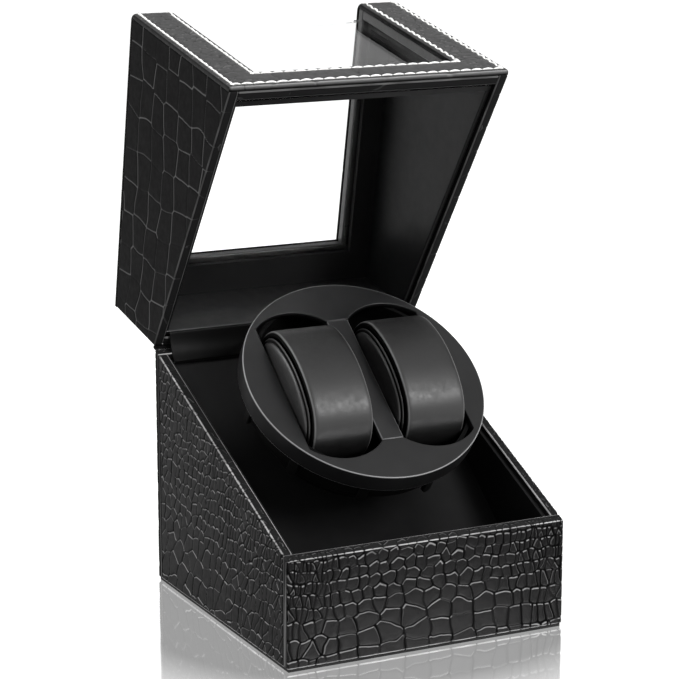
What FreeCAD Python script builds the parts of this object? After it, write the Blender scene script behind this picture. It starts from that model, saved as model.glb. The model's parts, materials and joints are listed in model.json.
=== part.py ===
import FreeCAD, Part
import math
import os

import Sketcher

# Watch winder box: a leather-wrapped base with a sloping deck, a hinged lid with a clear window
# over its front edge, and a motor-driven drum that turns two watch pillows.
# Millimetres. X is to the right, Y to the back and Z up; the origin lies on the ground under the
# middle of the base. The lid is drawn open, as it stands when a watch is put in.

DRIVING_SIZES = {
    # Base box, outside
    "box_width": 152.0,
    "box_depth": 160.0,
    "front_height": 54.0,
    "back_height": 124.0,
    "wall": 5.0,
    "bottom_thickness": 4.0,
    "sheet_thickness": 1.5,
    "sheet_inset": 0.8,
    # Lining
    "liner": 2.5,
    "liner_drop": 3.0,
    "fit_gap": 0.2,
    # Lid, closed height above the underside of the base
    "lid_height": 178.0,
    "parting_gap": 0.6,
    "open_angle": 78.57,
    "side_strip": 22.0,
    "low_strip": 20.0,
    "back_strip": 27.0,
    "trim_thickness": 3.0,
    "trim_corner": 5.0,
    "trim_lift": 0.6,
    "pane": 2.0,
    "inner_frame": 3.0,
    "inner_setback": 3.0,
    # Hinges
    "hinge_offset": 1.0,
    "hinge_spacing": 90.0,
    "hinge_length": 30.0,
    "knuckle_radius": 2.2,
    "knuckle_gap": 0.2,
    "hinge_clearance": 0.4,
    "pin_radius": 1.0,
    "leaf_height": 14.0,
    "leaf_thickness": 1.0,
    "hinge_screw_pitch": 18.0,
    "hinge_screw_drop": 9.0,
    "screw_shank": 1.0,
    "screw_head": 1.9,
    "screw_length": 4.4,
    "running_fit": 0.05,
    "strip_thickness": 0.8,
    # Deck and drum position
    "drum_tilt": 37.49,
    "deck_drop": 4.2,
    "deck_thickness": 4.0,
    "drum_down_slope": 64.5,
    "deck_below_face": 53.5,
    "cleat_width": 7.0,
    "cleat_height": 8.0,
    # Drum
    "drum_radius": 63.1,
    "rim_depth": 10.5,
    "face_thickness": 3.0,
    "skirt_wall": 3.0,
    "bridge_width": 12.0,
    "bridge_thickness": 1.2,
    "pocket_width": 39.5,
    "pocket_side": 78.0,
    "pocket_rise": 8.0,
    "clip_width": 5.0,
    "clip_thickness": 2.2,
    "clip_depth": 24.0,
    "bowl_wall": 2.0,
    "bowl_straight": 14.0,
    "bowl_floor_radius": 44.0,
    "floor_thickness": 2.7,
    "hub_flange_radius": 16.0,
    "hub_flange": 4.0,
    "hub_radius": 10.0,
    "hub_screw_circle": 12.5,
    "shaft_radius": 5.0,
    "bush_wall": 3.0,
    "bush_flange": 1.3,
    "bush_flange_width": 4.0,
    "ring_width": 2.5,
    "ring_thickness": 1.0,
    # Pillows
    "pillow_half_length": 36.5,
    "pillow_half_height": 25.0,
    "pillow_end_radius": 19.0,
    "pillow_sink": 10.0,
    "pillow_crown": 0.6,
    "band_width": 30.0,
    "band_thickness": 1.6,
    "pad_gap": 0.25,
    "seat_gap": 0.3,
    # Gear train under the deck
    "module_size": 1.0,
    "gear_width": 6.0,
    "second_gear_width": 4.5,
    "level_gap": 0.5,
    "gear_lift": 2.0,
    "gear_backlash": 0.2,
    "gear_addendum": 0.9,
    "gear_dedendum": 1.2,
    "axle_radius": 2.0,
    "plate_thickness": 3.0,
    "plate_margin": 14.0,
    "plate_gap": 1.0,
    "standoff_radius": 3.5,
    "plate_screw_shank": 1.5,
    "plate_screw_head": 2.8,
    # Motor
    "motor_radius": 12.0,
    "motor_length": 30.0,
    "motor_shaft": 1.0,
    "motor_hole": 4.0,
    "motor_screw_circle": 8.0,
    # Electrics in the base and on its back
    "board_width": 40.0,
    "board_depth": 32.0,
    "board_thickness": 1.6,
    "board_lift": 5.0,
    "board_x": -34.0,
    "board_y": 26.0,
    "rear_plate_width": 52.0,
    "rear_plate_height": 26.0,
    "rear_plate_thickness": 2.0,
    "rear_plate_middle": 34.0,
    "rear_opening_margin": 5.0,
    "control_spacing": 24.0,
    "socket_radius": 4.5,
    "socket_bore": 2.8,
    "socket_depth": 14.0,
    "socket_pin": 0.8,
    "switch_radius": 6.5,
    "switch_depth": 11.0,
    "switch_shaft": 3.0,
    "knob_radius": 8.0,
    "knob_height": 8.0,
    "knob_gap": 0.4,
    "lead_radius": 1.0,
}

# Counts of teeth and of repeated pieces
OUTPUT_TEETH = 48
IDLER_SMALL_TEETH = 16
IDLER_LARGE_TEETH = 40
PINION_TEETH = 16
CLIP_COUNT = 10
HUB_SCREW_COUNT = 4
# Share of the motor can that the rotor shaft reaches into
ROTOR_REACH = 0.9
PRESSURE_ANGLE = math.radians(20.0)
SIDES = {"left": -1, "right": 1}

# A cut goes right through a wall when it is this many times as long as the wall is thick
THROUGH = 3
# A bend of a lead takes up this share of the shorter run beside it
BEND_SHARE = 0.45
VOLUME_TOLERANCE = 0.01
# End pads of the pillows: share of a pad's width, and how far its oval is drawn in there
PAD_PROFILE = [(0.0, 2.2), (0.35, 1.4), (0.75, 4.4), (1.0, 10.0)]

Vector = FreeCAD.Vector
# Bends of the leads, as steps from the motor, the socket and the plugs that they end in
MOTOR_LEAD_EXIT = 9.0
MOTOR_LEAD_TURN = Vector(-10, 1, -2)
MOTOR_PLUG_BENDS = [Vector(20, 8, -4), Vector(9, 0, 0)]
SOCKET_LEAD_EXIT = Vector(0, -8, 0)
SUPPLY_PLUG_BENDS = [Vector(12, 8, 6), Vector(8, 0, 0)]

doc = FreeCAD.newDocument("watch_winder_box")
nodes = []


class Size:
    """A number together with the sheet formula that it comes from."""

    def __init__(self, value, text):
        self.value = float(value)
        self.text = text

    @staticmethod
    def of(other):
        """The size itself, or a size made from a plain number."""
        if isinstance(other, Size):
            return other
        return Size(other, f"({float(other)!r})")

    def joined(self, sign, other, value):
        """The size that a sum, difference, product or quotient gives."""
        return Size(value, f"({self.text} {sign} {other.text})")

    def __add__(self, other):
        other = Size.of(other)
        return self.joined("+", other, self.value + other.value)

    def __radd__(self, other):
        return Size.of(other) + self

    def __sub__(self, other):
        other = Size.of(other)
        return self.joined("-", other, self.value - other.value)

    def __rsub__(self, other):
        return Size.of(other) - self

    def __mul__(self, other):
        other = Size.of(other)
        return self.joined("*", other, self.value * other.value)

    def __rmul__(self, other):
        return Size.of(other) * self

    def __truediv__(self, other):
        other = Size.of(other)
        return self.joined("/", other, self.value / other.value)

    def __neg__(self):
        return Size(-self.value, f"(-{self.text})")


def sine(angle):
    """Sine of a size in degrees."""
    return Size(math.sin(math.radians(angle.value)), f"sin({angle.text})")


def cosine(angle):
    """Cosine of a size in degrees."""
    return Size(math.cos(math.radians(angle.value)), f"cos({angle.text})")


def tangent(angle):
    """Tangent of a size in degrees."""
    return Size(math.tan(math.radians(angle.value)), f"tan({angle.text})")


def larger(first, second):
    """The larger of two sizes."""
    return Size(max(first.value, second.value), f"max({first.text}; {second.text})")


class Sizes:
    """The driving dimensions, read from the sheet by name."""

    def __init__(self, table):
        sheet = doc.addObject("Spreadsheet::Sheet", "Sizes")
        for row, (alias, value) in enumerate(table.items(), start=1):
            sheet.set(f"A{row}", alias)
            sheet.set(f"B{row}", str(value))
            sheet.setAlias(f"B{row}", alias)
        doc.recompute()
        for alias, value in table.items():
            setattr(self, alias, Size(value, f"Sizes.{alias}"))


S = Sizes(DRIVING_SIZES)


# Levels and faces that several pieces share

half_width = S.box_width / 2
half_depth = S.box_depth / 2
inner_x = half_width - S.wall
inner_y = half_depth - S.wall
lined_x = inner_x - S.liner
lined_y = inner_y - S.liner
underside = S.sheet_thickness
board_top = underside + S.bottom_thickness
rim_rise = (S.back_height - S.front_height) / S.box_depth


def base_rim(y):
    """Height of the base's sloping rim at a depth."""
    return underside + S.front_height + (y + half_depth) * rim_rise


def lid_rim(y):
    """Height of the closed lid's sloping rim at a depth."""
    return base_rim(y) + S.parting_gap


hinge_y = half_depth + S.hinge_offset
hinge_z = base_rim(half_depth) + S.parting_gap / 2
lid_top = underside + S.lid_height
pane_top = lid_top - S.wall
frame_top = pane_top - S.pane
lining_top = frame_top - S.inner_frame
frame_back = inner_y - S.pane - S.inner_frame
window_half = half_width - S.side_strip
window_low = lid_rim(-half_depth) + S.low_strip
window_back = half_depth - S.back_strip

deck_back_height = base_rim(lined_y) - S.deck_drop
axis_foot_y = lined_y - S.drum_down_slope * cosine(S.drum_tilt)
axis_foot_z = deck_back_height - S.drum_down_slope * sine(S.drum_tilt)
drum_y = axis_foot_y - S.deck_below_face * sine(S.drum_tilt)
drum_z = axis_foot_z + S.deck_below_face * cosine(S.drum_tilt)


def deck_top(y):
    """Height of the deck's upper face at a depth."""
    return deck_back_height + (y - lined_y) * tangent(S.drum_tilt)


def deck_under(y):
    """Height of the deck's lower face at a depth."""
    return deck_top(y) - S.deck_thickness / cosine(S.drum_tilt)


# Drum frame: x to the right, y up the slope, z out of the drum's face, zero at the face's middle
pocket_middle = S.bridge_width / 2 + S.pocket_width / 2
floor_level = -(S.pillow_sink + S.pillow_half_height + S.seat_gap)
bowl_under = floor_level - S.floor_thickness
deck_level = -S.deck_below_face
deck_under_level = deck_level - S.deck_thickness
gear_top = deck_under_level - S.gear_lift
gear_low = gear_top - S.gear_width
second_top = gear_low - S.level_gap
second_low = second_top - S.second_gear_width
plate_top = second_low - S.plate_gap
plate_low = plate_top - S.plate_thickness
idler_distance = S.module_size * ((OUTPUT_TEETH + IDLER_SMALL_TEETH) / 2)
motor_distance = S.module_size * ((IDLER_LARGE_TEETH + PINION_TEETH) / 2)


class Frame:
    """A frame turned about the X axis and set on the middle plane of the box."""

    def __init__(self, y, z, angle):
        self.y = y
        self.z = z
        self.angle = angle

    def placement(self):
        """The frame as numbers."""
        turn = FreeCAD.Rotation(Vector(1, 0, 0), self.angle.value)
        return FreeCAD.Placement(Vector(0, self.y.value, self.z.value), turn)

    def carry(self, piece):
        """Put a piece into this frame, bound to the sheet."""
        piece.Placement = self.placement()
        piece.setExpression("Placement.Base.y", self.y.text)
        piece.setExpression("Placement.Base.z", self.z.text)
        piece.setExpression("Placement.Rotation.Angle", self.angle.text)


ZERO = Size.of(0.0)
BASE = Frame(ZERO, ZERO, ZERO)
LID = Frame(hinge_y, hinge_z, -S.open_angle)
DRUM = Frame(drum_y, drum_z, S.drum_tilt)


def in_lid(points):
    """Points of the closed lid, measured from the hinge axis."""
    return [(y - hinge_y, z - hinge_z) for y, z in points]


# Tools for sketches and features

def new_body(label, frame=BASE):
    """An empty body in a frame."""
    body = doc.addObject("PartDesign::Body", label)
    body.Label = label
    frame.carry(body)
    return body


def new_sketch(body, name, plane, offset):
    """A sketch on one of the body's own planes, moved along the plane's normal."""
    sketch = body.newObject("Sketcher::SketchObject", f"{body.Label}_{name}")
    support = [item for item in body.Origin.OriginFeatures if item.Role == plane][0]
    sketch.AttachmentSupport = [(support, "")]
    sketch.MapMode = "FlatFace"
    offset = Size.of(offset)
    sketch.AttachmentOffset = FreeCAD.Placement(Vector(0, 0, offset.value), FreeCAD.Rotation())
    sketch.setExpression("AttachmentOffset.Base.z", offset.text)
    return sketch


def bind(sketch, constraint, size):
    """Add a dimension to a sketch, driven by the sheet."""
    number = sketch.addConstraint(constraint)
    sketch.setExpression(f"Constraints[{number}]", size.text)


def locate(sketch, geometry, place, u, v):
    """Fix one point of a sketch at sheet-driven coordinates."""
    bind(sketch, Sketcher.Constraint("DistanceX", -1, 1, geometry, place, u.value), u)
    bind(sketch, Sketcher.Constraint("DistanceY", -1, 1, geometry, place, v.value), v)


def bulge(start, end, radius):
    """The arc from start to end that swells to the right of the way from one to the other."""
    step = end - start
    height = math.sqrt(radius ** 2 - step.Length ** 2 / 4)
    centre = (start + end) / 2 + Vector(-step.y, step.x, 0).normalize() * height
    first = math.atan2(start.y - centre.y, start.x - centre.x)
    last = math.atan2(end.y - centre.y, end.x - centre.x)
    return Part.ArcOfCircle(Part.Circle(centre, Vector(0, 0, 1), radius), first, last)


def outline(body, name, plane, offset, points, arcs=None):
    """A closed outline through points; arcs gives the radius of each side that is round."""
    arcs = arcs or {}
    sketch = new_sketch(body, name, plane, offset)
    points = [(Size.of(u), Size.of(v)) for u, v in points]
    corners = [Vector(u.value, v.value, 0) for u, v in points]
    count = len(corners)
    for side in range(count):
        start = corners[side]
        end = corners[(side + 1) % count]
        if side in arcs:
            sketch.addGeometry(bulge(start, end, arcs[side].value))
        else:
            sketch.addGeometry(Part.LineSegment(start, end))
    for side in range(count):
        sketch.addConstraint(Sketcher.Constraint("Coincident", side, 2, (side + 1) % count, 1))
    for side, (u, v) in enumerate(points):
        locate(sketch, side, 1, u, v)
    for side, radius in arcs.items():
        bind(sketch, Sketcher.Constraint("Radius", side, radius.value), radius)
    return sketch


def circles(body, name, plane, offset, centres, radius):
    """Circles of one radius on one sketch."""
    sketch = new_sketch(body, name, plane, offset)
    radius = Size.of(radius)
    for number, (u, v) in enumerate(centres):
        u = Size.of(u)
        v = Size.of(v)
        sketch.addGeometry(Part.Circle(Vector(u.value, v.value, 0), Vector(0, 0, 1), radius.value))
        locate(sketch, number, 3, u, v)
        bind(sketch, Sketcher.Constraint("Radius", number, radius.value), radius)
    return sketch


def rectangle(low_u, low_v, high_u, high_v):
    """The corners of an upright rectangle."""
    return [(low_u, low_v), (high_u, low_v), (high_u, high_v), (low_u, high_v)]


def thicken(body, kind, sketch, length):
    """A pad or pocket of a given length, half on each side of its sketch."""
    feature = body.newObject(f"PartDesign::{kind}", f"{sketch.Name}_{kind.lower()}")
    feature.Profile = sketch
    feature.Midplane = True
    length = Size.of(length)
    feature.Length = length.value
    feature.setExpression("Length", length.text)
    return feature


def pad(body, sketch, length):
    """Material on both sides of a sketch."""
    return thicken(body, "Pad", sketch, length)


def pocket(body, sketch, length):
    """A cut on both sides of a sketch, checked to take material away."""
    doc.recompute()
    before = body.Shape.Volume
    feature = thicken(body, "Pocket", sketch, length)
    doc.recompute()
    if body.Shape.Volume >= before:
        raise RuntimeError(f"{feature.Name} cuts nothing")
    return feature


def board(label, low_x, high_x, points, frame=BASE):
    """A board cut to a side outline (depth, height), from one X to another."""
    body = new_body(label, frame)
    low_x = Size.of(low_x)
    high_x = Size.of(high_x)
    sketch = outline(body, "side", "YZ_Plane", (low_x + high_x) / 2, points)
    pad(body, sketch, high_x - low_x)
    return body


def plate(label, points, low_z, high_z, frame=BASE, arcs=None):
    """A flat plate cut to a plan outline, from one Z to another."""
    body = new_body(label, frame)
    sketch = outline(body, "plan", "XY_Plane", (low_z + high_z) / 2, points, arcs)
    pad(body, sketch, high_z - low_z)
    return body


def turned(label, profile, frame=BASE, x=ZERO, y=ZERO):
    """A turned piece whose profile (radius, height) goes round the Z axis at x, y."""
    body = new_body(label, frame)
    sketch = outline(body, "profile", "XZ_Plane", -y, [(x + radius, height) for radius, height in profile])
    axis = sketch.addGeometry(Part.LineSegment(Vector(x.value, 0, 0), Vector(x.value, 1, 0)), True)
    locate(sketch, axis, 1, x, ZERO)
    locate(sketch, axis, 2, x, Size.of(1.0))
    spin = body.newObject("PartDesign::Revolution", f"{label}_spin")
    spin.Profile = sketch
    spin.ReferenceAxis = (sketch, ["Axis0"])
    spin.Angle = 360.0
    return body


def turned_along_depth(label, profile, x, z):
    """A turned piece whose profile (radius, depth) goes round an axis along Y at x, z."""
    body = new_body(label)
    sketch = outline(body, "profile", "XY_Plane", z, [(x + radius, depth) for radius, depth in profile])
    axis = sketch.addGeometry(Part.LineSegment(Vector(x.value, 0, 0), Vector(x.value, 1, 0)), True)
    locate(sketch, axis, 1, x, ZERO)
    locate(sketch, axis, 2, x, Size.of(1.0))
    spin = body.newObject("PartDesign::Revolution", f"{label}_spin")
    spin.Profile = sketch
    spin.ReferenceAxis = (sketch, ["Axis0"])
    spin.Angle = 360.0
    return body


def drill(body, name, plane, offset, centres, radius, length):
    """Round holes through a body, all of one radius."""
    return pocket(body, circles(body, name, plane, offset, centres, radius), length)


def node(piece):
    """Keep a piece as one of the assembly's nodes."""
    nodes.append(piece)
    return piece


def group(label, members):
    """Identical pieces kept together as one node."""
    compound = doc.addObject("Part::Compound", label)
    compound.Label = label
    compound.Links = members
    return node(compound)


def shaped(label, shape, frame=BASE):
    """A piece whose form comes from a formula, in a frame."""
    piece = doc.addObject("Part::Feature", label)
    piece.Label = label
    piece.Shape = shape
    frame.carry(piece)
    return piece


# Base box

def build_base_walls():
    """Four wrapped walls, the bottom board and the soft sheet that the box stands on."""
    front = [(-half_depth, underside), (-inner_y, underside),
             (-inner_y, base_rim(-inner_y)), (-half_depth, base_rim(-half_depth))]
    node(board("front_wall", -half_width, half_width, front))

    back = [(inner_y, underside), (half_depth, underside),
            (half_depth, base_rim(half_depth)), (inner_y, base_rim(inner_y))]
    back_wall = node(board("back_wall", -half_width, half_width, back))
    cut_hinge_seat(back_wall, hinge_y, hinge_z, -1)
    opening = outline(back_wall, "opening", "XZ_Plane", -half_depth, rear_opening())
    pocket(back_wall, opening, S.wall * THROUGH)
    drill(back_wall, "plate_holes", "XZ_Plane", -half_depth, rear_screw_places(),
          S.screw_shank + S.running_fit, S.wall * THROUGH)

    side = [(-inner_y, underside), (inner_y, underside),
            (inner_y, base_rim(inner_y)), (-inner_y, base_rim(-inner_y))]
    for name, sign in SIDES.items():
        node(board(f"{name}_wall", *sorted_pair(sign * inner_x, sign * half_width), side))

    node(plate("bottom_board", rectangle(-inner_x, -inner_y, inner_x, inner_y), underside, board_top))
    edge_x = half_width - S.sheet_inset
    edge_y = half_depth - S.sheet_inset
    node(plate("base_sheet", rectangle(-edge_x, -edge_y, edge_x, edge_y), ZERO, underside))


def rear_opening():
    """The outline of the opening behind the rear plate, across and up."""
    x = S.rear_plate_width / 2 - S.rear_opening_margin
    z = S.rear_plate_height / 2 - S.rear_opening_margin
    return rectangle(-x, S.rear_plate_middle - z, x, S.rear_plate_middle + z)


def sorted_pair(first, second):
    """Two sizes, the smaller one first."""
    if first.value < second.value:
        return first, second
    return second, first


def build_base_lining():
    """Liners inside the base walls, a step below their rims."""
    def lined(y):
        return base_rim(y) - S.liner_drop

    front = [(-inner_y, board_top), (-lined_y, board_top),
             (-lined_y, lined(-lined_y)), (-inner_y, lined(-inner_y))]
    node(board("front_liner", -inner_x, inner_x, front))
    back = [(lined_y, board_top), (inner_y, board_top),
            (inner_y, lined(inner_y)), (lined_y, lined(lined_y))]
    back_liner = node(board("back_liner", -inner_x, inner_x, back))
    opening = outline(back_liner, "opening", "XZ_Plane", -inner_y, rear_opening())
    pocket(back_liner, opening, S.liner * THROUGH)
    side = [(-lined_y, board_top), (lined_y, board_top),
            (lined_y, lined(lined_y)), (-lined_y, lined(-lined_y))]
    for name, sign in SIDES.items():
        node(board(f"{name}_liner", *sorted_pair(sign * lined_x, sign * inner_x), side))


def build_deck():
    """The sloping deck that hides the drive, its cleats and the bush for the drum's shaft."""
    back_end = lined_y - S.fit_gap
    slope = tangent(S.drum_tilt)
    meets_board = lined_y - (deck_back_height - board_top - S.fit_gap) / slope
    front_end = larger(S.fit_gap - lined_y, meets_board)
    under_end = front_end + (board_top - deck_under(front_end)) / slope
    side = [(back_end, deck_top(back_end)), (front_end, deck_top(front_end)), (front_end, board_top),
            (under_end, board_top), (back_end, deck_under(back_end))]
    deck = node(board("deck_panel", S.fit_gap - lined_x, lined_x - S.fit_gap, side))
    bush_radius = S.shaft_radius + S.running_fit + S.bush_wall
    hole = new_sketch(deck, "bush_hole", "XY_Plane", 0)
    hole.AttachmentOffset = DRUM.placement()
    hole.setExpression("AttachmentOffset.Base.y", DRUM.y.text)
    hole.setExpression("AttachmentOffset.Base.z", DRUM.z.text)
    hole.setExpression("AttachmentOffset.Rotation.Angle", DRUM.angle.text)
    hole.addGeometry(Part.Circle(Vector(0, 0, 0), Vector(0, 0, 1), bush_radius.value))
    locate(hole, 0, 3, ZERO, ZERO)
    bind(hole, Sketcher.Constraint("Radius", 0, bush_radius.value), bush_radius)
    pocket(deck, hole, (S.deck_below_face + S.deck_thickness) * THROUGH)

    cleats = []
    low_end = axis_foot_y - S.drum_down_slope / 2
    high_end = lined_y - S.cleat_height
    drop = S.cleat_height / cosine(S.drum_tilt)
    side = [(low_end, deck_under(low_end) - drop), (high_end, deck_under(high_end) - drop),
            (high_end, deck_under(high_end)), (low_end, deck_under(low_end))]
    for name, sign in SIDES.items():
        span = sorted_pair(sign * (lined_x - S.cleat_width), sign * lined_x)
        cleats.append(board(f"{name}_cleat", *span, side))
    group("deck_cleats", cleats)

    flange_radius = bush_radius + S.bush_flange_width
    bore = S.shaft_radius + S.running_fit
    flange_top = deck_level + S.bush_flange
    profile = [(bore, flange_top), (flange_radius, flange_top), (flange_radius, deck_level),
               (bush_radius, deck_level), (bush_radius, deck_under_level), (bore, deck_under_level)]
    node(turned("deck_bush", profile, DRUM))


# Lid

def cut_hinge_seat(wall_body, axis_y, axis_z, side):
    """Round notches for the knuckles and pilot holes for the screws in a back wall."""
    notch = S.knuckle_radius + S.hinge_clearance
    screw_z = axis_z + side * S.hinge_screw_drop
    holes = []
    for name, sign in SIDES.items():
        middle = sign * (S.hinge_spacing / 2)
        round_cut = circles(wall_body, f"{name}_notch", "YZ_Plane", middle, [(axis_y, axis_z)], notch)
        pocket(wall_body, round_cut, S.hinge_length + S.hinge_clearance * 2)
        holes += [(middle - S.hinge_screw_pitch / 2, screw_z), (middle + S.hinge_screw_pitch / 2, screw_z)]
    drill(wall_body, "pilot_holes", "XZ_Plane", S.hinge_offset - axis_y, holes,
          S.screw_shank + S.running_fit, S.screw_length * 2 + S.running_fit * 2)


def wrapped_frame(label, side, half_span, window_x, front_cut, top_cut):
    """A frame bent over the lid's front edge, with one window through both of its legs."""
    body = board(label, -half_span, half_span, in_lid(side), LID)
    y_low, y_high, z_low = front_cut
    z_high = lid_top + S.trim_thickness * 2 - hinge_z
    window = rectangle(-window_x, z_low - hinge_z, window_x, z_high)
    sketch = outline(body, "front_window", "XZ_Plane", hinge_y - (y_low + y_high) / 2, window)
    pocket(body, sketch, y_high - y_low)
    z_under, z_over, y_end = top_cut
    y_start = -half_depth - S.trim_thickness * 2 - hinge_y
    window = rectangle(-window_x, y_start, window_x, y_end - hinge_y)
    sketch = outline(body, "top_window", "XY_Plane", (z_under + z_over) / 2 - hinge_z, window)
    pocket(body, sketch, z_over - z_under)
    return body


def build_lid_boards():
    """The lid's wrapped walls and the two frames around its window."""
    side = [(-half_depth, lid_rim(-half_depth)), (half_depth, lid_rim(half_depth)),
            (half_depth, lid_top), (-half_depth, lid_top)]
    for name, sign in SIDES.items():
        node(board(f"lid_{name}_wall", *sorted_pair(sign * inner_x, sign * half_width), in_lid(side), LID))

    back = [(inner_y, lid_rim(inner_y)), (half_depth, lid_rim(half_depth)),
            (half_depth, pane_top), (inner_y, pane_top)]
    back_wall = node(board("lid_back_wall", -inner_x, inner_x, in_lid(back), LID))
    cut_hinge_seat(back_wall, ZERO, ZERO, 1)

    front = [(-half_depth, lid_rim(-half_depth)), (-inner_y, lid_rim(-inner_y)),
             (-inner_y, pane_top), (-half_depth, pane_top)]
    front_frame = node(board("lid_front_frame", -inner_x, inner_x, in_lid(front), LID))
    window = rectangle(-window_half, window_low - hinge_z, window_half, lid_top - hinge_z)
    sketch = outline(front_frame, "window", "XZ_Plane", hinge_y + half_depth, window)
    pocket(front_frame, sketch, S.wall * THROUGH)

    near = -half_depth - hinge_y
    far = half_depth - hinge_y
    window_end = window_back - hinge_y
    plan = [(-inner_x, near), (-window_half, near), (-window_half, window_end), (window_half, window_end),
            (window_half, near), (inner_x, near), (inner_x, far), (-inner_x, far)]
    node(plate("lid_top_frame", plan, pane_top - hinge_z, lid_top - hinge_z, LID))


def build_lid_trim():
    """The stitched trim over the frames, with a rounded front edge."""
    front = -half_depth - S.trim_thickness
    top = lid_top + S.trim_thickness
    low = lid_rim(-half_depth) + S.trim_lift
    side = [(front, low), (-half_depth, low), (-half_depth, lid_top),
            (half_depth, lid_top), (half_depth, top), (front, top)]
    over = S.trim_thickness
    body = wrapped_frame("stitched_trim", side, half_width, window_half,
                         (front - over, -half_depth, window_low), (lid_top, top + over, window_back))
    doc.recompute()
    names = []
    for sign in SIDES.values():
        names += trim_corner_edges(body.Shape, sign, front - hinge_y, top - hinge_z)
    square_trim = body.Tip
    rounding = body.newObject("PartDesign::Fillet", "stitched_trim_rounding")
    rounding.Base = (square_trim, names)
    rounding.Radius = S.trim_corner.value
    rounding.setExpression("Radius", S.trim_corner.text)
    node(body)


def trim_corner_edges(shape, sign, y, z):
    """Edges along the trim's front corner on one side, in the lid's own frame."""
    found = []
    back = LID.placement().inverse()
    for number, edge in enumerate(shape.Edges, start=1):
        ends = [back.multVec(vertex.Point) for vertex in edge.Vertexes]
        middle_x = sum(end.x for end in ends) / len(ends)
        near = all(math.hypot(end.y - y.value, end.z - z.value) < S.fit_gap.value for end in ends)
        if near and middle_x * sign > 0:
            found.append(f"Edge{number}")
    return found


def build_lid_window():
    """Two clear panes that meet at the front edge, and the inner frame that holds them."""
    pane_x = inner_x - S.fit_gap
    top = [(-inner_y, frame_top), (inner_y, frame_top), (inner_y, pane_top), (-inner_y, pane_top)]
    node(board("top_pane", -pane_x, pane_x, in_lid(top), LID))
    pane_y = -inner_y + S.pane
    low = lid_rim(pane_y) + S.liner_drop
    front = [(-inner_y, low), (pane_y, low), (pane_y, frame_top), (-inner_y, frame_top)]
    node(board("front_pane", -pane_x, pane_x, in_lid(front), LID))

    side = [(pane_y, low), (-frame_back, lid_rim(-frame_back) + S.liner_drop), (-frame_back, lining_top),
            (inner_y, lining_top), (inner_y, frame_top), (pane_y, frame_top)]
    over = S.pane / 2
    node(wrapped_frame("lid_inner_frame", side, inner_x, window_half + S.inner_setback,
                       (pane_y - over, -frame_back, window_low - S.inner_setback),
                       (lining_top, frame_top + over, window_back + S.inner_setback)))


def build_lid_lining():
    """Liners on the lid's side and back walls, a step above its rim."""
    def lined(y):
        return lid_rim(y) + S.liner_drop

    side = [(-frame_back, lined(-frame_back)), (lined_y, lined(lined_y)), (lined_y, lining_top),
            (-frame_back, lining_top)]
    for name, sign in SIDES.items():
        node(board(f"lid_{name}_liner", *sorted_pair(sign * lined_x, sign * inner_x), in_lid(side), LID))
    back = [(lined_y, lined(lined_y)), (inner_y, lined(inner_y)),
            (inner_y, lining_top), (lined_y, lining_top)]
    node(board("lid_back_liner", -inner_x, inner_x, in_lid(back), LID))


# Hinges

def hinge_leaf(label, frame, axis_y, axis_z, middle, side, segments):
    """One leaf with its knuckles; side is 1 for a leaf above the axis and -1 for one below."""
    body = new_body(label, frame)
    reach = S.knuckle_radius + S.hinge_clearance
    root = axis_z + side * reach
    end = axis_z + side * S.leaf_height
    half = S.hinge_length / 2
    low, high = sorted_pair(root, end)
    face = outline(body, "leaf", "XZ_Plane", S.leaf_thickness / 2 - axis_y,
                   rectangle(middle - half, low, middle + half, high))
    pad(body, face, S.leaf_thickness)
    for number, (start, stop) in enumerate(segments):
        low, high = sorted_pair(axis_z, root)
        tab = outline(body, f"tab_{number}", "XZ_Plane", S.leaf_thickness / 2 - axis_y,
                      rectangle(middle + start, low, middle + stop, high))
        pad(body, tab, S.leaf_thickness)
        round_face = circles(body, f"knuckle_{number}", "YZ_Plane", middle + (start + stop) / 2,
                             [(axis_y, axis_z)], S.knuckle_radius)
        pad(body, round_face, stop - start)
    bore = S.pin_radius + S.running_fit
    drill(body, "bore", "YZ_Plane", middle, [(axis_y, axis_z)], bore, S.hinge_length * THROUGH)
    screw_z = axis_z + side * S.hinge_screw_drop
    places = [(middle - S.hinge_screw_pitch / 2, screw_z), (middle + S.hinge_screw_pitch / 2, screw_z)]
    seat = S.screw_head + S.running_fit
    drill(body, "screw_holes", "XZ_Plane", -axis_y, places, seat, S.leaf_thickness * THROUGH)
    return body


def hinge_screw(label, frame, axis_y, x, z):
    """A flat-headed screw whose head fills the leaf's thickness."""
    body = new_body(label, frame)
    head = circles(body, "head", "XZ_Plane", S.leaf_thickness / 2 - axis_y, [(x, z)], S.screw_head)
    pad(body, head, S.leaf_thickness)
    shank_middle = axis_y - S.leaf_thickness - S.screw_length / 2
    shank = circles(body, "shank", "XZ_Plane", -shank_middle, [(x, z)], S.screw_shank)
    pad(body, shank, S.screw_length)
    return body


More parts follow.
